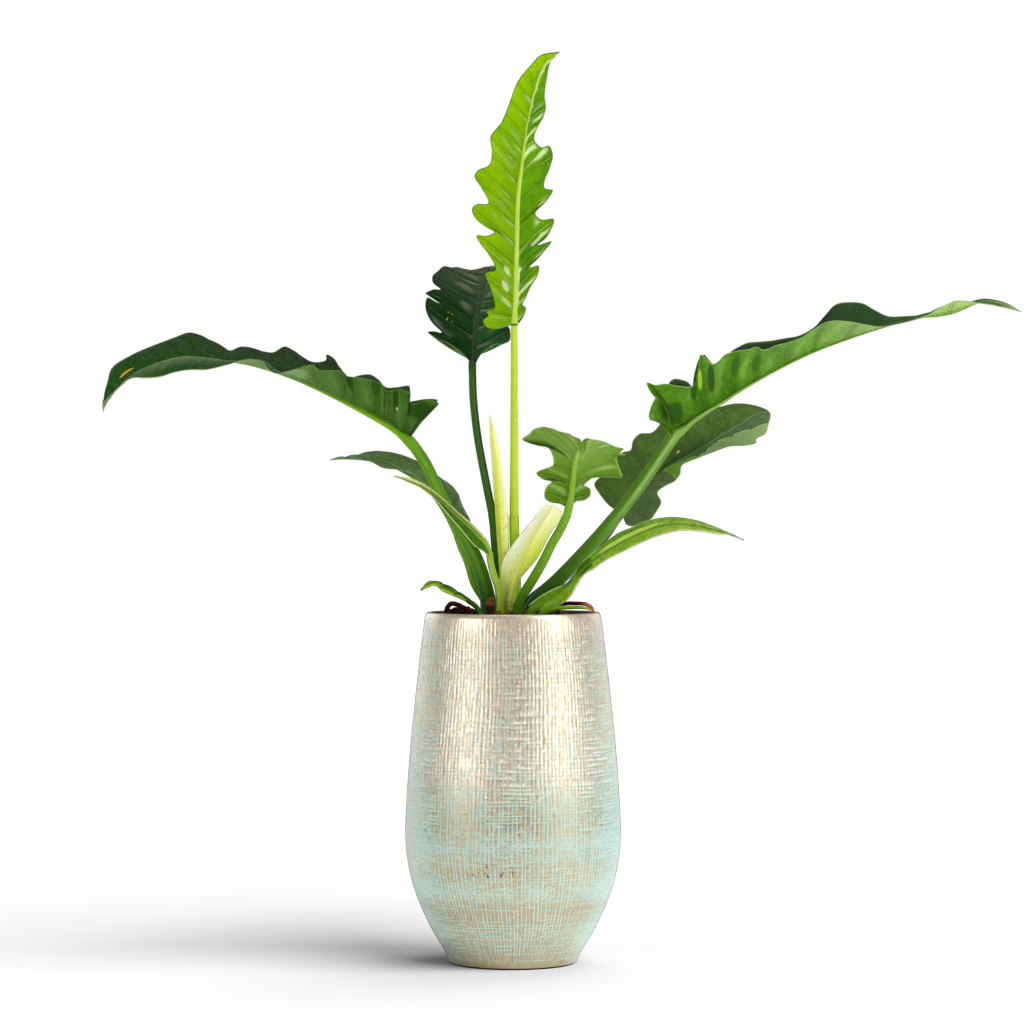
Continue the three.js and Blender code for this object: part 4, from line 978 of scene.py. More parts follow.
def dark_look():
    # Painted sheen on the upper face: the grey tip colour and the large grey fleck towards the tip. Its
    # painted_gloss and streak are painted highlights.
    upper = blade_face(
        "dark_upper", (12, 52, 4), (20, 64, 12), (120, 134, 100), (60, 76, 54), (52, 84, 36),
        tip=(106, 104, 90), tip_from=0.15, other=((22, 68, 22), (38, 90, 44)), veins=0.7, rib_width=3.2,
        painted_gloss=((124, 128, 110), 0.55, 0.65), streak=((156, 158, 138), 0.8, 0.5),
        flecks=[("left", 0.126, 0.006, 29, 0.9, (210, 190, 40)),
        ("left", 0.152, 0.006, 29, 0.8, (210, 190, 40)),
        ("left", 0.156, 0.006, 25, 0.8, (210, 190, 40)),
        ("left", 0.128, 0.005, 24, 0.6, (150, 150, 40)), ("left", 0.7, 0.3, 22, 18, (86, 86, 76))],
        mottle=0.3, quilt_shade=0.6, roughness=0.38)
    lower = blade_face(
        "dark_lower", (84, 122, 50), (70, 108, 40), (120, 150, 80), (120, 150, 70), (140, 170, 90),
        roughness=0.5)
    stalk = stalk_face(
        "dark_stalk", (64, 110, 16), (66, 108, 34), (44, 66, 34), shaded=((22, 46, 10), -1))
    return upper, lower, stalk


def long_left_look():
    # Painted sheen on the upper face: the pale band along the rib on the left half, and the pale band along
    # the right half's margin.
    upper = blade_face(
        "left_upper", (34, 66, 20), (24, 52, 16), (80, 108, 62), (138, 156, 118), (150, 168, 116),
        tip=(34, 84, 20), other=((24, 50, 16), (32, 60, 22)), veins=0.25, rib_width=1.3,
        bands=[("across", "left", 30, (130, 156, 112), 0.65), ("edge", "left", 4, (60, 104, 26), 0.6),
        ("edge", "right", 3, (70, 96, 60), 0.5)],
        flecks=[("right", 0.86, 0.035, 7.0, 1.6, (226, 178, 50))], mottle=0.45, roughness=0.38)
    # The painted_gloss on the lower face paints highlights.
    lower = blade_face(
        "left_lower", (64, 104, 30), (50, 88, 16), (96, 126, 50), (140, 180, 50), (96, 130, 50),
        tip=(146, 172, 110), tip_from=0.1, veins=0.12, rib_width=1.4, mottle=0.2, quilt_shade=0.35,
        painted_gloss=((106, 138, 74), 0.3, 0.3), roughness=0.5,
        flecks=[("left", 0.02, 0.016, 30, 18, (36, 74, 4)), ("left", 0.06, 0.012, 26, 20, (34, 70, 2)),
        ("left", 0.055, 0.004, 17, 2.2, (206, 184, 164)), ("left", 0.12, 0.02, 30, 16, (40, 76, 6)),
        ("left", 0.2, 0.02, 22, 14, (40, 78, 8)), ("left", 0.36, 0.05, 14, 14, (110, 144, 90))])
    stalk = stalk_face(
        "left_stalk", (50, 98, 8), (84, 136, 8), (112, 164, 10), end=(150, 170, 96),
        side=(110, 156, 40))
    return upper, lower, stalk


def long_right_look():
    # The streak on the upper face paints highlight lines.
    upper = blade_face(
        "right_upper", (36, 66, 26), (28, 54, 22), (96, 122, 78), (150, 170, 110), (150, 170, 110),
        veins=0.3, tip=(50, 104, 30), mottle=0.3, streak=((150, 158, 140), 0.6, 0.6),
        bands=[("edge", "both", 5, (96, 120, 84), 0.6)])
    # On the lower face, painted_gloss paints highlights. The dark green flecks near the base paint shade in
    # the folds there, and the light green fleck at 0.1 along paints a lit patch.
    lower = blade_face(
        "right_lower", (74, 126, 2), (58, 106, 0), (56, 98, 4), (120, 166, 50), (150, 180, 90),
        tip=(158, 184, 108), tip_from=0.2, veins=0.3, vein_width=0.8, mottle=0.25, quilt_shade=0.45,
        painted_gloss=((140, 178, 80), 0.3, 0.3), rib_width=1.0,
        bands=[("across", "both", 6, (58, 104, 0), 0.5)],
        flecks=[("right", 0.03, 0.02, 16, 16, (38, 78, 0)),
        ("right", 0.075, 0.014, 30, 22, (36, 76, 0)), ("right", 0.1, 0.012, 32, 16, (132, 180, 30)),
        ("right", 0.135, 0.016, 26, 22, (34, 74, 0)), ("right", 0.2, 0.016, 28, 20, (46, 90, 0)),
        ("right", 0.26, 0.02, 20, 16, (52, 96, 2))])
    stalk = stalk_face(
        "right_stalk", (36, 84, 4), (80, 126, 18), (112, 156, 46), end=(134, 172, 84),
        side=(150, 182, 110), side_from=-0.6)
    return upper, lower, stalk


def back_right_look():
    # Painted sheen on the upper face: the greyer colours and the pale band across the right half.
    upper = blade_face(
        "back_upper", (82, 110, 46), (70, 98, 38), (112, 134, 84), (136, 146, 112), (132, 160, 92),
        other=((82, 106, 58), (70, 96, 48)), veins=0.4, vein_width=0.5, rib_width=1.4, mottle=0.22,
        quilt_shade=0.15, bands=[("across", "right", 60, (124, 140, 104), 0.3)],
        folds=[("right", 0.34, 0.62, 0.9, 28, (142, 172, 106)),
        ("right", 0.2, 0.28, 0.36, 18, (104, 150, 44))],
        flecks=[("left", 0.42, 0.014, 7.0, 1.6, (226, 196, 160))], roughness=0.5)
    lower = blade_face(
        "back_lower", (132, 165, 92), (114, 150, 76), (160, 185, 120), (150, 180, 104), (175, 200, 130),
        mottle=0.2, roughness=0.5)
    stalk = stalk_face("back_stalk", (36, 70, 20), (40, 78, 26), (110, 136, 90))
    return upper, lower, stalk


def back_left_look():
    upper = blade_face(
        "back_left_upper", (102, 130, 78), (84, 112, 60), (130, 152, 108), (146, 158, 118),
        (120, 146, 90), veins=0.4, mottle=0.25, roughness=0.5)
    lower = blade_face(
        "back_left_lower", (104, 130, 76), (88, 116, 62), (128, 150, 96), (130, 156, 90),
        (150, 172, 110), mottle=0.3, roughness=0.5)
    stalk = stalk_face("back_left_stalk", (76, 128, 12), (104, 156, 24), (120, 156, 60))
    return upper, lower, stalk


def front_small_look():
    upper = blade_face(
        "front_upper", (100, 146, 30), (84, 128, 20), (140, 172, 70), (150, 182, 80), (140, 174, 80),
        mottle=0.2)
    # The painted_gloss on the lower face paints highlights.
    lower = blade_face(
        "front_lower", (92, 134, 24), (80, 122, 12), (158, 184, 96), (150, 186, 70), (158, 186, 96),
        tip=(138, 168, 84), tip_from=0.1, mottle=0.14, vein_width=0.6, quilt_shade=0.5,
        painted_gloss=((168, 192, 118), 0.5, 0.4), roughness=0.48)
    stalk = stalk_face(
        "front_stalk", (60, 110, 0), (106, 158, 18), (122, 168, 46), end=(146, 182, 76))
    return upper, lower, stalk


def strap_look():
    # The flecks at 0.19 and 0.28 along paint shade where the strap twists.
    upper, lower = [
        blade_face(
            name, (104, 156, 12), (84, 136, 4), (150, 184, 60), (70, 118, 14), (226, 232, 190),
            other=((146, 184, 44), (126, 170, 28)), tip=(158, 186, 84), tip_from=0.4, vein_width=0.3,
            veins=0.2, rib_width=1.3, mottle=0.45, bands=[("edge", "left", 2.4, (224, 232, 184), 0.7)],
            flecks=[("left", 0.19, 0.06, 6, 9, (84, 112, 62)), ("both", 0.28, 0.06, 3, 5, (58, 106, 4)),
            ("left", 0.5, 0.22, 3.5, 3.5, (186, 208, 92))])
        for name in ("strap_upper", "strap_lower")
    ]
    stalk = stalk_face("strap_stalk", (84, 134, 10), (110, 158, 20), (110, 156, 30))
    return upper, lower, stalk


def small_left_look():
    upper = blade_face(
        "small_upper", (64, 110, 16), (50, 94, 10), (90, 136, 36), (120, 158, 50), (150, 186, 60),
        tip=(120, 160, 50), tip_from=0.5, vein_width=0.3, veins=0.3,
        bands=[("edge", "left", 6, (156, 194, 44), 0.9)])
    stalk = stalk_face("small_stalk", (70, 120, 10), (60, 112, 14), (50, 94, 16))
    return upper, upper, stalk


def cream_edged_look():
    upper = blade_face(
        "cream_edged", (66, 112, 10), (54, 98, 8), (100, 140, 40), (190, 204, 110), (206, 214, 140),
        vein_width=0.3, veins=0.3, rib_width=0.8, bands=[("edge", "right", 12, (206, 214, 96), 1.0),
        ("edge", "right", 7, (238, 234, 176), 1.0)])
    stalk = stalk_face(
        "cream_edged_stalk", (136, 176, 30), (156, 190, 46), (140, 176, 60), side=(190, 208, 110))
    return upper, upper, stalk


def sheath_looks():
    central = sheath_face(
        "central_sheath_face", (254, 252, 216), (230, 236, 110), (202, 220, 56), (246, 246, 150),
        (200, 220, 70), ((140, 184, 36), 0.0, 0.7), (222, 234, 104))
    cream = sheath_face(
        "cream_sheath_face", (196, 216, 44), (238, 242, 112), (255, 255, 236), (252, 250, 206),
        (214, 226, 84), ((168, 200, 56), -0.2, 0.6), (220, 232, 92))
    stalk = stalk_face("pale_stalk", (170, 196, 44), (220, 230, 100), (236, 240, 116))
    return (central, central, stalk), (cream, cream, stalk)


def looks():
    """The data, the three finishes (upper face, lower face and stalk) and the slot of every leaf."""
    central, cream = sheath_looks()
    return {
        "upright_lime_leaf": (UPRIGHT_LEAF, lime_look(), "lime_leaf"),
        "back_dark_leaf": (BACK_DARK_LEAF, dark_look(), "dark_leaf"),
        "long_left_leaf": (LONG_LEFT_LEAF, long_left_look(), "green_leaf"),
        "back_left_leaf": (BACK_LEFT_LEAF, back_left_look(), "dark_leaf"),
        "front_left_strap_leaf": (FRONT_LEFT_STRAP, cream_edged_look(), "cream_edged_leaf"),
        "small_left_leaf": (SMALL_LEFT_LEAF, small_left_look(), "green_leaf"),
        "central_sheath": (CENTRAL_SHEATH, central, "pale_sheath"),
        "cream_sheath": (CREAM_SHEATH, cream, "pale_sheath"),
        "front_small_leaf": (FRONT_SMALL_LEAF, front_small_look(), "green_leaf"),
        "back_right_leaf": (BACK_RIGHT_LEAF, back_right_look(), "dark_leaf"),
        "long_right_leaf": (LONG_RIGHT_LEAF, long_right_look(), "green_leaf"),
        "front_right_strap_leaf": (FRONT_RIGHT_STRAP, strap_look(), "cream_edged_leaf"),
    }


def add_leaves():
    for seed, (node, (leaf, materials, slot)) in enumerate(looks().items()):
        hand_in(leaf_piece(node + "_detailed", leaf, materials, seed), node)


# Thin shoot

def add_thin_shoot():
    build = Build("along", "joint", "round", "flat")
    path = Curve(true_place(THIN_SHOOT))
    share = np.linspace(0, 1, SHOOT_ROWS)
    start, end = THIN_SHOOT_RADII
    radius = (start + (end - start) * share) * MM
    ups = np.tile([0.0, 0.0, 1.0], (len(share), 1))
    tube(build, path.at_distance(share * path.length), ups, radius * SHOOT_FLATNESS, radius, SHOOT_SIDES, 0,
         along=share - 1, joint=(share - 1) * path.length / MM)
    finish = stalk_face("shoot_green", (70, 128, 6), (124, 168, 22), (196, 200, 90))
    hand_in(build.piece("thin_right_shoot_detailed", [finish]), "thin_right_shoot")


# Pot

def pot_radius(height):
    """Radius of the pot's outside at a height, both in millimetres."""
    profile = Curve([(radius, 0, level) for radius, level in POT_OUTSIDE], steps=8)
    return np.interp(height, profile.points[:, 2], profile.points[:, 0])


def groove_rows(chance):
    """Heights of the pot's rows, and the number of the level groove whose middle each row is, or -1."""
    heights, numbers = list(FOOT_ROWS), [-1] * len(FOOT_ROWS)
    level, number = FIRST_LEVEL, 0
    while level < LAST_LEVEL:
        heights += [level - LEVEL_HALF, level, level + LEVEL_HALF]
        numbers += [-1, number, -1]
        number += 1
        level += chance.choice(LEVEL_STEPS)
    return np.array(heights + LIP_ROWS), np.array(numbers + [-1] * len(LIP_ROWS)), number


def faded(height, foot, over_foot, lip, over_lip):
    """1 on the middle of the pot, going to 0 this far above its foot and below its lip."""
    return np.clip((height - foot) / over_foot, 0, 1) * np.clip((POT_HEIGHT - lip - height) / over_lip, 0, 1)


def pot_outside(build, chance):
    """The carved outside: upright grooves that wander a little, crossed by broken level grooves."""
    heights, numbers, level_count = groove_rows(chance)
    rng = np.random.default_rng(11)
    tall = heights[:, None]
    own = rng.uniform(0, 2 * math.pi, (4, UPRIGHT_GROOVES))
    wander = (0.25 * np.sin(tall / 37 + 1) + 0.1 * np.sin(tall / 17) + 0.13 * np.sin(tall / 21 + own[0])
              + 0.06 * np.sin(tall / 8 + own[1]))
    centre = np.arange(UPRIGHT_GROOVES)[None] + wander
    half = GROOVE_HALF * (0.8 + 0.25 * np.sin(tall / 13 + own[2]))
    pitch = 2 * math.pi / UPRIGHT_GROOVES
    angles = (centre[:, :, None] + np.stack([-half, 0 * half, half], axis=2)) * pitch
    bands = np.maximum.accumulate(numbers) + 1
    shown = rng.uniform(0.5, 1.25, (level_count + 1, UPRIGHT_GROOVES)).clip(0, 1)[bands]
    fade = faded(tall, *CARVED)
    upright = (shown * fade)[:, :, None] * np.array([0.0, 1.0, 0.0])
    phase = rng.uniform(0, 2 * math.pi, (level_count + 1, 3))
    strength = rng.choice(LEVEL_STRENGTHS, level_count + 1)[numbers][:, None, None]
    waves = sum(np.sin((3 + 7 * k) * angles + phase[numbers, k][:, None, None]) for k in range(3))
    level = np.where(numbers[:, None, None] >= 0, np.clip(strength * (0.75 + 0.4 * waves), 0.05, 0.95), 0)
    level = level * np.clip(LEVEL_FADE - tall / POT_HEIGHT, 0.4, 1)[:, :, None]
    groove = np.maximum(upright, level * fade[:, :, None])
    inner = faded(tall, *WAVY)
    high = tall[:, :, None]
    wobble = 0.4 * np.sin(5 * angles + high / 19) + 0.2 * np.sin(17 * angles + high / 7)
    rise = high + wobble * inner[:, :, None]
    radius = pot_radius(rise) - GROOVE_DEPTH * groove + rng.normal(0, GLAZE_GRAIN, groove.shape)
    corners = np.stack([radius * np.sin(angles), -radius * np.cos(angles), rise], axis=-1)
    build.add(corners.reshape(-1, 3) * MM, grid_faces(len(heights), UPRIGHT_GROOVES * 3, closed=True), 0,
              groove=groove.ravel(), level=rise.ravel() / POT_HEIGHT, turn=np.sin(angles).ravel())
    return corners[-1].reshape(-1, 3), corners[0].reshape(-1, 3)


def ring(radius, height, angles):
    """Corners of a level ring, in millimetres."""
    level = np.full_like(angles, height)
    return np.stack([radius * np.sin(angles), -radius * np.cos(angles), level], axis=1)


def add_pot():
    build = Build("groove", "level", "turn")
    top, bottom = pot_outside(build, random.Random(5))
    angles = np.arctan2(top[:, 0], -top[:, 1])
    rim = float(pot_radius(POT_HEIGHT))
    lip = [(rim - LIP_ROUND * 0.1, POT_HEIGHT - LIP_ROUND),
           (rim - LIP_ROUND * 0.3, POT_HEIGHT - LIP_ROUND * 0.45),
           (rim - LIP_ROUND * 0.75, POT_HEIGHT - 0.1), (rim - POT_WALL / 2, POT_HEIGHT),
           (rim - POT_WALL + LIP_ROUND * 0.7, POT_HEIGHT - 0.1), (rim - POT_WALL, POT_HEIGHT - LIP_ROUND)]
    inside = [(float(pot_radius(height)) - POT_WALL, height) for height in INSIDE_HEIGHTS]
    over = np.stack([top] + [ring(radius, height, angles) for radius, height in lip + inside])
    faces = grid_faces(len(over), len(angles), closed=True)
    # The inner lip and the inside take the dark wall finish: a soil stain and painted shade inside the pot.
    stained_and_shaded_faces = np.arange(len(faces)) // len(angles) >= len(lip) - 1
    build.add(over.reshape(-1, 3) * MM, faces, np.where(stained_and_shaded_faces, 1, 0), level=1.0)
    build.cap(build.count - len(angles), len(angles), 1)
    angles = np.arctan2(bottom[:, 0], -bottom[:, 1])
    # The foot's inset ring and the underside take the dark wall finish, as painted contact shadow under the
    # pot.
    under = np.stack([ring(FOOT_INSET, 0.0, angles), ring(FOOT_INSET, FOOT_GAP, angles), bottom])
    first = build.count
    build.add(under.reshape(-1, 3) * MM, grid_faces(3, len(angles), closed=True), 1, groove=0.3)
    build.cap(first, len(angles), 1, turned=True)
    hand_in(build.piece("pot_carved", [pot_finish(), wall_stain_and_shade()]), "pot")


def pot_finish():
    """Brushed pale gold, with mint glaze in the grooves and over most of the lower part, more mint at the
    left and right sides as a painted grazing sheen, and painted shade beside the grooves.
    """
    m = Material("carved_glaze", 0.4, coat=0.35, coat_roughness=0.3)
    where = m.place()
    groove, level, turn = m.value("groove"), m.value("level"), m.value("turn")
    upright = m.noise(m.place((1, 1, 0.06)), 1000, 3, 0.7)
    cross = m.noise(m.place((0.06, 0.06, 1)), 1000, 3, 0.7)
    spots = m.noise(where, 420, 3, 0.65)
    cloud = m.noise(m.place((1, 1, 1.6)), 18, 3, 0.6)
    low = m.sum(m.step(level, 0.8, 0.36, 0, 0.32), *[m.product(tent(m, level, *belt), most)
                                                     for *belt, most in MINT_BELTS])
    low = m.sum(low, m.step(level, 0.12, 0.02, 0, -0.22))
    line = m.product(m.step(groove, 0.15, 0.75), m.step(cloud, 0.34, 0.62, 0.5, 0.8),
                     m.step(level, 0.98, 0.9, 0.2, 1.0))
    share = m.sum(
        line, low,
        # Painted grazing sheen: more mint towards the left and right sides.
        m.step(m.calc("ABSOLUTE", turn), 0.64, 1.0, 0, 0.34),
        m.step(upright, 0.5, 0.66, -0.04, 0.15),
        m.step(cross, 0.5, 0.66, -0.04, 0.17),
        m.step(cloud, 0.3, 0.7, -0.07, 0.07),
        m.step(spots, 0.34, 0.66, -0.18, 0.14),
    )
    mint = m.step(share, 0.2, 0.58)
    gold = m.mix(m.step(upright, 0.38, 0.66), (244, 234, 216), (212, 190, 158))
    gold = m.mix(m.step(cross, 0.42, 0.3, 0, 0.4), gold, (176, 148, 108))
    gold = m.mix(m.step(level, 0.6, 0.4, 0, 0.85), gold, (162, 150, 112))
    glaze = m.mix(m.step(cloud, 0.3, 0.7), (172, 206, 202), (188, 208, 192))
    glaze = m.mix(m.step(spots, 0.56, 0.7, 0, 0.35), glaze, (214, 232, 222))
    colour = m.mix(mint, gold, glaze)
    # Painted shade: darker brown beside the grooves, except near the lip.
    groove_shade = m.product(tent(m, groove, 0.0, 0.12, 0.3), 0.85, m.step(spots, 0.38, 0.58))
    colour = m.mix(m.product(groove_shade, m.step(level, 0.99, 0.9)), colour, (122, 94, 62))
    pit = m.product(m.step(m.noise(where, 640, 2), 0.67, 0.74), 0.6)
    colour = m.mix(pit, colour, (112, 84, 50))
    worn = m.product(tent(m, level, 0.25, 0.285, 0.32), tent(m, turn, -0.55, -0.2, 0.1))
    specks = m.step(m.noise(m.place((1, 1, 0.5)), 330, 2), 0.58, 0.64)
    dark = m.product(m.step(worn, 0.05, 0.5), specks, 0.85)
    colour = m.mix(dark, colour, (70, 48, 34))
    m.set("Base Color", colour)
    m.set("Metallic", m.step(mint, 0, 1, 0.8, 0.05))
    m.set("Roughness", m.step(mint, 0, 1, 0.36, 0.46))
    rough = m.sum(m.product(upright, 0.6), m.product(cross, 0.4))
    m.set("Normal", m.bump(rough, 0.0004, 0.4))
    return m.material


def wall_stain_and_shade():
    """The inside of the pot, dark brown as a stain from wet soil and as painted shade, and the foot's inset
    ring and underside, dark as painted contact shadow.
    """
    m = Material("wall_stain_and_shade", 0.8, specular=0.2)
    stain = m.noise(m.place((1, 1, 0.5)), 120, 3, 0.65)
    m.set("Base Color", m.mix(m.step(stain, 0.35, 0.65), (62, 40, 26), (104, 76, 52)))
    m.set("Normal", m.bump(m.noise(m.place(), 600, 2), 0.0005, 0.6))
    return m.material


# Soil, crown and dry bits

def soil_height(distance):
    """Height of the soil at a distance from the pot's axis, in millimetres."""
    edge = float(pot_radius(SOIL_TOP)) - POT_WALL
    return np.interp(distance, [0, edge * 0.45, edge * 0.8, edge],
                     [SOIL_TOP + SOIL_SWELL, SOIL_TOP + SOIL_SWELL, SOIL_TOP, SOIL_TOP - SOIL_DROP])


CHIP_CORNERS = [(x, y, z) for z in (-1, 1) for x, y in ((-1, -1), (1, -1), (1, 1), (-1, 1))]
CHIP_FACES = [(3, 2, 1, 0), (4, 5, 6, 7), (0, 1, 5, 4), (1, 2, 6, 5), (2, 3, 7, 6), (3, 0, 4, 7)]


def chip(build, chance, middle, size, finish):
    """One broken bit of bark or peat: a rough box with its corners moved about."""
    turn = Vector([chance.uniform(-1, 1) for _ in range(3)]).to_track_quat("Z", "Y")
    corners = []
    for corner in CHIP_CORNERS:
        point = Vector([part * length * chance.uniform(0.55, 1.0) for part, length in zip(corner, size)])
        corners.append(list(turn @ point + Vector(middle)))
    build.add(np.array(corners) * MM, CHIP_FACES, finish)


def add_soil():
    build = Build("round")
    chance = random.Random(21)
    rng = np.random.default_rng(21)
    angles = np.linspace(0, 2 * math.pi, SOIL_SIDES, endpoint=False)
    edge = float(pot_radius(SOIL_TOP)) - POT_WALL - SOIL_GAP
    rows = []
    for radius in np.linspace(0.5, edge, SOIL_ROWS):
        height = soil_height(radius) - 0.6 + rng.normal(0, 0.5, len(angles)) * min(1, radius / 6)
        row = ring(radius, 0.0, angles)
        row[:, 2] = height
        rows.append(row)
    for level in SOIL_SIDE_HEIGHTS + [POT_FLOOR + SOIL_GAP]:
        rows.append(ring(float(pot_radius(level)) - POT_WALL - SOIL_GAP, level, angles))
    build.closed_rings(np.stack(rows) * MM)
    for _ in range(SOIL_CHIPS):
        angle = chance.uniform(0, 2 * math.pi)
        reach = math.sqrt(chance.random()) * (edge - CHIPS_FROM_EDGE)
        size = [chance.uniform(*span) for span in SOIL_CHIP]
        height = float(soil_height(reach)) + chance.uniform(-0.5, 0.6)
        middle = (reach * math.cos(angle), reach * math.sin(angle), height)
        chip(build, chance, middle, size, 1 if chance.random() < 0.35 else 0)
    for _ in range(HEAP_CHIPS):
        along, aside, layer = chance.uniform(-1, 1), chance.uniform(-1, 1), chance.random() ** 0.4
        room = 1 - max(abs(along), abs(aside)) ** 2
        middle = (HEAP_MIDDLE[0] + along * HEAP_HALF[0], HEAP_MIDDLE[1] + aside * HEAP_HALF[1],
                  SOIL_TOP + HEAP_RISE * room * layer)
        size = [chance.uniform(*span) for span in HEAP_CHIP]
        finish = 1 if chance.random() < 0.25 else 0
        if math.hypot(middle[0], middle[1]) < edge - HEAP_FROM_EDGE:
            chip(build, chance, middle, size, finish)
    peat = peat_finish()
    bark = bark_finish("bark_bits", (84, 44, 26), (150, 82, 44))
    hand_in(build.piece("soil_and_bark", [peat, bark]), "soil")


def peat_finish():
    m = Material("dark_peat", 0.95, specular=0.2)
    where = m.place()
    colour = m.mix(m.step(m.noise(where, 400, 3, 0.7), 0.35, 0.65), (34, 20, 12), (66, 40, 26))
    m.set("Base Color", m.mix(m.step(m.noise(where, 1200, 1), 0.66, 0.72), colour, (112, 78, 52)))
    m.set("Normal", m.bump(m.noise(where, 900, 3, 0.7), 0.001, 0.9))
    return m.material


def bark_finish(name, dark, light, end=None, start=None, reach=0.3):
    """Fibrous bark, with another colour towards either end."""
    m = Material(name, 0.75, specular=0.25)
    along = m.value("along")
    fibre = m.noise(m.place((1, 0.2, 1)), 700, 3, 0.65)
    colour = m.mix(m.step(fibre, 0.35, 0.65), dark, light)
    if end is not None:
        colour = m.mix(m.step(along, 0.66, 0.84, 0, 0.9), colour, end)
    if start is not None:
        colour = m.mix(m.step(along, reach, reach - 0.2, 0, 0.9), colour, start)
    spots = m.step(m.noise(m.place(), 300, 2), 0.55, 0.75, 0, 0.7)
    m.set("Base Color", m.mix(spots, colour, [0.55 * part for part in dark]))
    m.set("Normal", m.bump(fibre, 0.0006, 0.8))
    return m.material


def strip_piece(name, bit, material, seed):
    """A dry bit: a curled strip that narrows to torn ends."""
    rng = np.random.default_rng(seed)
    build = Build("along")
    path = Curve(true_place(bit["line"]))
    share = np.linspace(0, 1, STRIP_ROWS)
    centres = path.at_distance(share * path.length)
    along = unit(np.gradient(centres, axis=0))
    sideways = np.array([bit["across"]], float)
    across = unit(sideways - along * np.sum(sideways * along, axis=1, keepdims=True))
    out = np.cross(along, across)
    spread = np.linspace(-1, 1, STRIP_COLUMNS)
    ragged = np.convolve(rng.normal(0, 0.16, len(share) + 4), np.ones(5) / 2, "valid")
    torn = 1 + ragged[:, None] * np.abs(spread)
    half = bit["width"] / 2 * (0.55 + 0.45 * np.sin(math.pi * share)) * MM
    thick = bit["thickness"] / 2 * MM * (1.1 + 0.5 * rng.random((len(share), len(spread))))
    thick *= (1.05 - spread ** 6) * np.clip(np.minimum(share, 1 - share) * 12 + 0.25, 0, 1)[:, None]
    curl = (spread ** 2 - 0.4) * bit["width"] * 0.12 * MM
    face = (centres[:, None] + across[:, None] * (half[:, None] * spread * torn)[..., None]
            + out[:, None] * curl[None, :, None])
    upper = face + out[:, None] * thick[..., None]
    lower = face - out[:, None] * thick[..., None]
    rings = np.concatenate([upper, lower[:, ::-1]], axis=1)
    build.closed_rings(rings, along=np.repeat(share, rings.shape[1]))
    return build.piece(name, [material])


def add_dry_bits():
    finishes = [
        bark_finish("dark_curled_bark", (44, 18, 10), (88, 38, 22)),
        bark_finish("red_dry_strip", (58, 24, 14), (98, 42, 24), end=(226, 124, 60), start=(40, 20, 12)),
        bark_finish("brown_dry_scale", (128, 60, 26), (176, 96, 54), start=(34, 18, 10), reach=0.65),
    ]
    bits = [("curled_bark", CURLED_BARK), ("dry_strip", DRY_STRIP), ("dry_scale", DRY_SCALE)]
    for seed, ((node, bit), finish) in enumerate(zip(bits, finishes)):
        hand_in(strip_piece(node + "_detailed", bit, finish, seed), node)


def add_crown():
    """The short stem that the leaves leave from: a lumpy mound with the scars of old sheaths."""
    build = Build("round")
    rng = np.random.default_rng(3)
    angles = np.linspace(0, 2 * math.pi, CROWN_SIDES, endpoint=False)
    lump = 1 + 0.05 * np.sin(5 * angles) + 0.04 * np.sin(9 * angles + 1) + rng.normal(0, 0.01, len(angles))
    rows = []
    for share, height in CROWN_PROFILE:
        bumps = rng.normal(0, 0.35, len(angles)) if 0.1 < share < 1 else 0
        scale = share * np.minimum(lump, 1.02)
        rows.append(np.stack([CROWN_MIDDLE[0] + CROWN_HALF_WIDTH * scale * np.cos(angles),
                              CROWN_MIDDLE[1] + CROWN_HALF_DEPTH * scale * np.sin(angles),
                              height + bumps + 0 * angles], axis=1))
    build.closed_rings(np.stack(rows) * MM)
    chance = random.Random(8)
    for _ in range(HUSK_CHIPS):
        angle, reach = chance.uniform(-2.8, -0.3), chance.uniform(0.55, 0.95)
        middle = (CROWN_MIDDLE[0] + CROWN_HALF_WIDTH * reach * math.cos(angle),
                  CROWN_MIDDLE[1] + CROWN_HALF_DEPTH * reach * math.sin(angle), chance.uniform(298, 302))
        chip(build, chance, middle, [chance.uniform(*span) for span in HUSK_CHIP], 1)
    m = Material("crown_skin", 0.7)
    where = m.place()
    colour = m.mix(m.step(m.noise(where, 90, 3, 0.6), 0.4, 0.6), (96, 120, 40), (60, 60, 26))
    m.set("Base Color", m.mix(m.step(m.noise(where, 300, 2), 0.55, 0.7), colour, (110, 70, 40)))
    m.set("Normal", m.bump(m.noise(where, 500, 3), 0.001, 0.8))
    husk = bark_finish("red_husk", (112, 52, 26), (168, 92, 50))
    hand_in(build.piece("crown_mound", [m.material, husk]), "crown")


# Floor, light and camera

def add_floor():
    mesh = bpy.data.meshes.new("floor")
    corners = [(x * FLOOR_REACH, y * FLOOR_REACH, 0) for x, y in ((-1, -1), (1, -1), (1, 1), (-1, 1))]
    mesh.from_pydata(corners, [], [(0, 1, 2, 3)])
    floor = bpy.data.objects.new("floor", mesh)
    m = Material("pale_floor", 0.9, specular=0.2)
    m.set("Base Color", rgb(*FLOOR_COLOUR))
    mesh.materials.append(m.material)
    bpy.context.scene.collection.objects.link(floor)
    floor.is_shadow_catcher = True
    floor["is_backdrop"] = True
    return floor


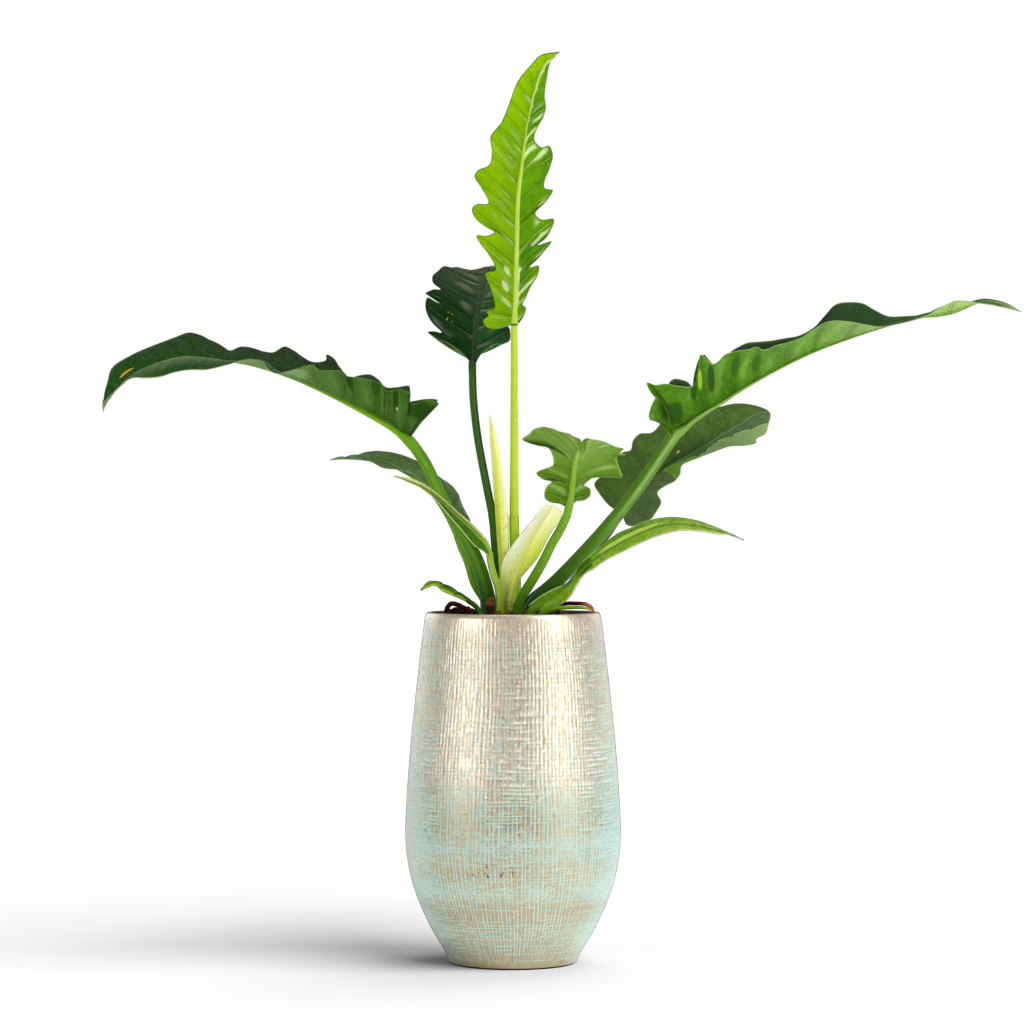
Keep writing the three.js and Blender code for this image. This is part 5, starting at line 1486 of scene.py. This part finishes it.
def add_softbox(name, place, aim, width, height, radiance, colour):
    light = bpy.data.lights.new(name, "AREA")
    light.shape = "RECTANGLE"
    light.size = width
    light.size_y = height
    light.energy = radiance * math.pi * width * height
    light.color = colour
    lamp = bpy.data.objects.new(name, light)
    lamp.location = place
    lamp.rotation_euler = (Vector(aim) - Vector(place)).to_track_quat("-Z", "Y").to_euler()
    bpy.context.scene.collection.objects.link(lamp)
    return lamp


def add_light(floor):
    """A white backdrop, dim light from all round, the softboxes, and the lamps for the floor."""
    scene = bpy.context.scene
    scene.world = bpy.data.worlds.new("studio")
    scene.world.use_nodes = True
    nodes = scene.world.node_tree.nodes
    links = scene.world.node_tree.links
    strength = nodes.new("ShaderNodeMapRange")
    links.new(nodes.new("ShaderNodeLightPath").outputs["Is Camera Ray"], strength.inputs["Value"])
    strength.inputs["To Min"].default_value = AMBIENT
    strength.inputs["To Max"].default_value = 1.0
    nodes["Background"].inputs["Color"].default_value = (1, 1, 1, 1)
    links.new(strength.outputs["Result"], nodes["Background"].inputs["Strength"])
    for softbox in SOFTBOXES:
        add_softbox(*softbox)
    floor_only = bpy.data.collections.new("floor_only")
    floor_only.objects.link(floor)
    pot_only = bpy.data.collections.new("pot_only")
    pot_only.objects.link(bpy.data.objects["pot_carved"])
    for lamp in FLOOR_LAMPS:
        linking = add_softbox(*lamp).light_linking
        linking.receiver_collection = floor_only
        linking.blocker_collection = pot_only
    scene.view_settings.view_transform = "Standard"


def add_camera():
    """A level camera at the photograph's distance and height."""
    camera = bpy.data.cameras.new("camera")
    camera.lens = LENS
    camera.sensor_width = SENSOR
    camera.clip_end = FARTHEST
    eye = bpy.data.objects.new("camera", camera)
    eye.location = (EYE_SIDE * MM, -EYE_DISTANCE * MM, EYE_HEIGHT * MM)
    eye.rotation_euler = (math.pi / 2, 0, 0)
    bpy.context.scene.collection.objects.link(eye)
    bpy.context.scene.camera = eye


def write_size():
    """Both boxes, the frame's and the dressed one's, as lists of corners."""
    boxes = {"cad": CAD_BOX, "visual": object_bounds()}
    boxes = {name: [list(corner) for corner in box] for name, box in boxes.items()}


add_pot()
add_soil()
add_crown()
add_leaves()
add_thin_shoot()
add_dry_bits()
add_light(add_floor())
add_camera()
write_size()
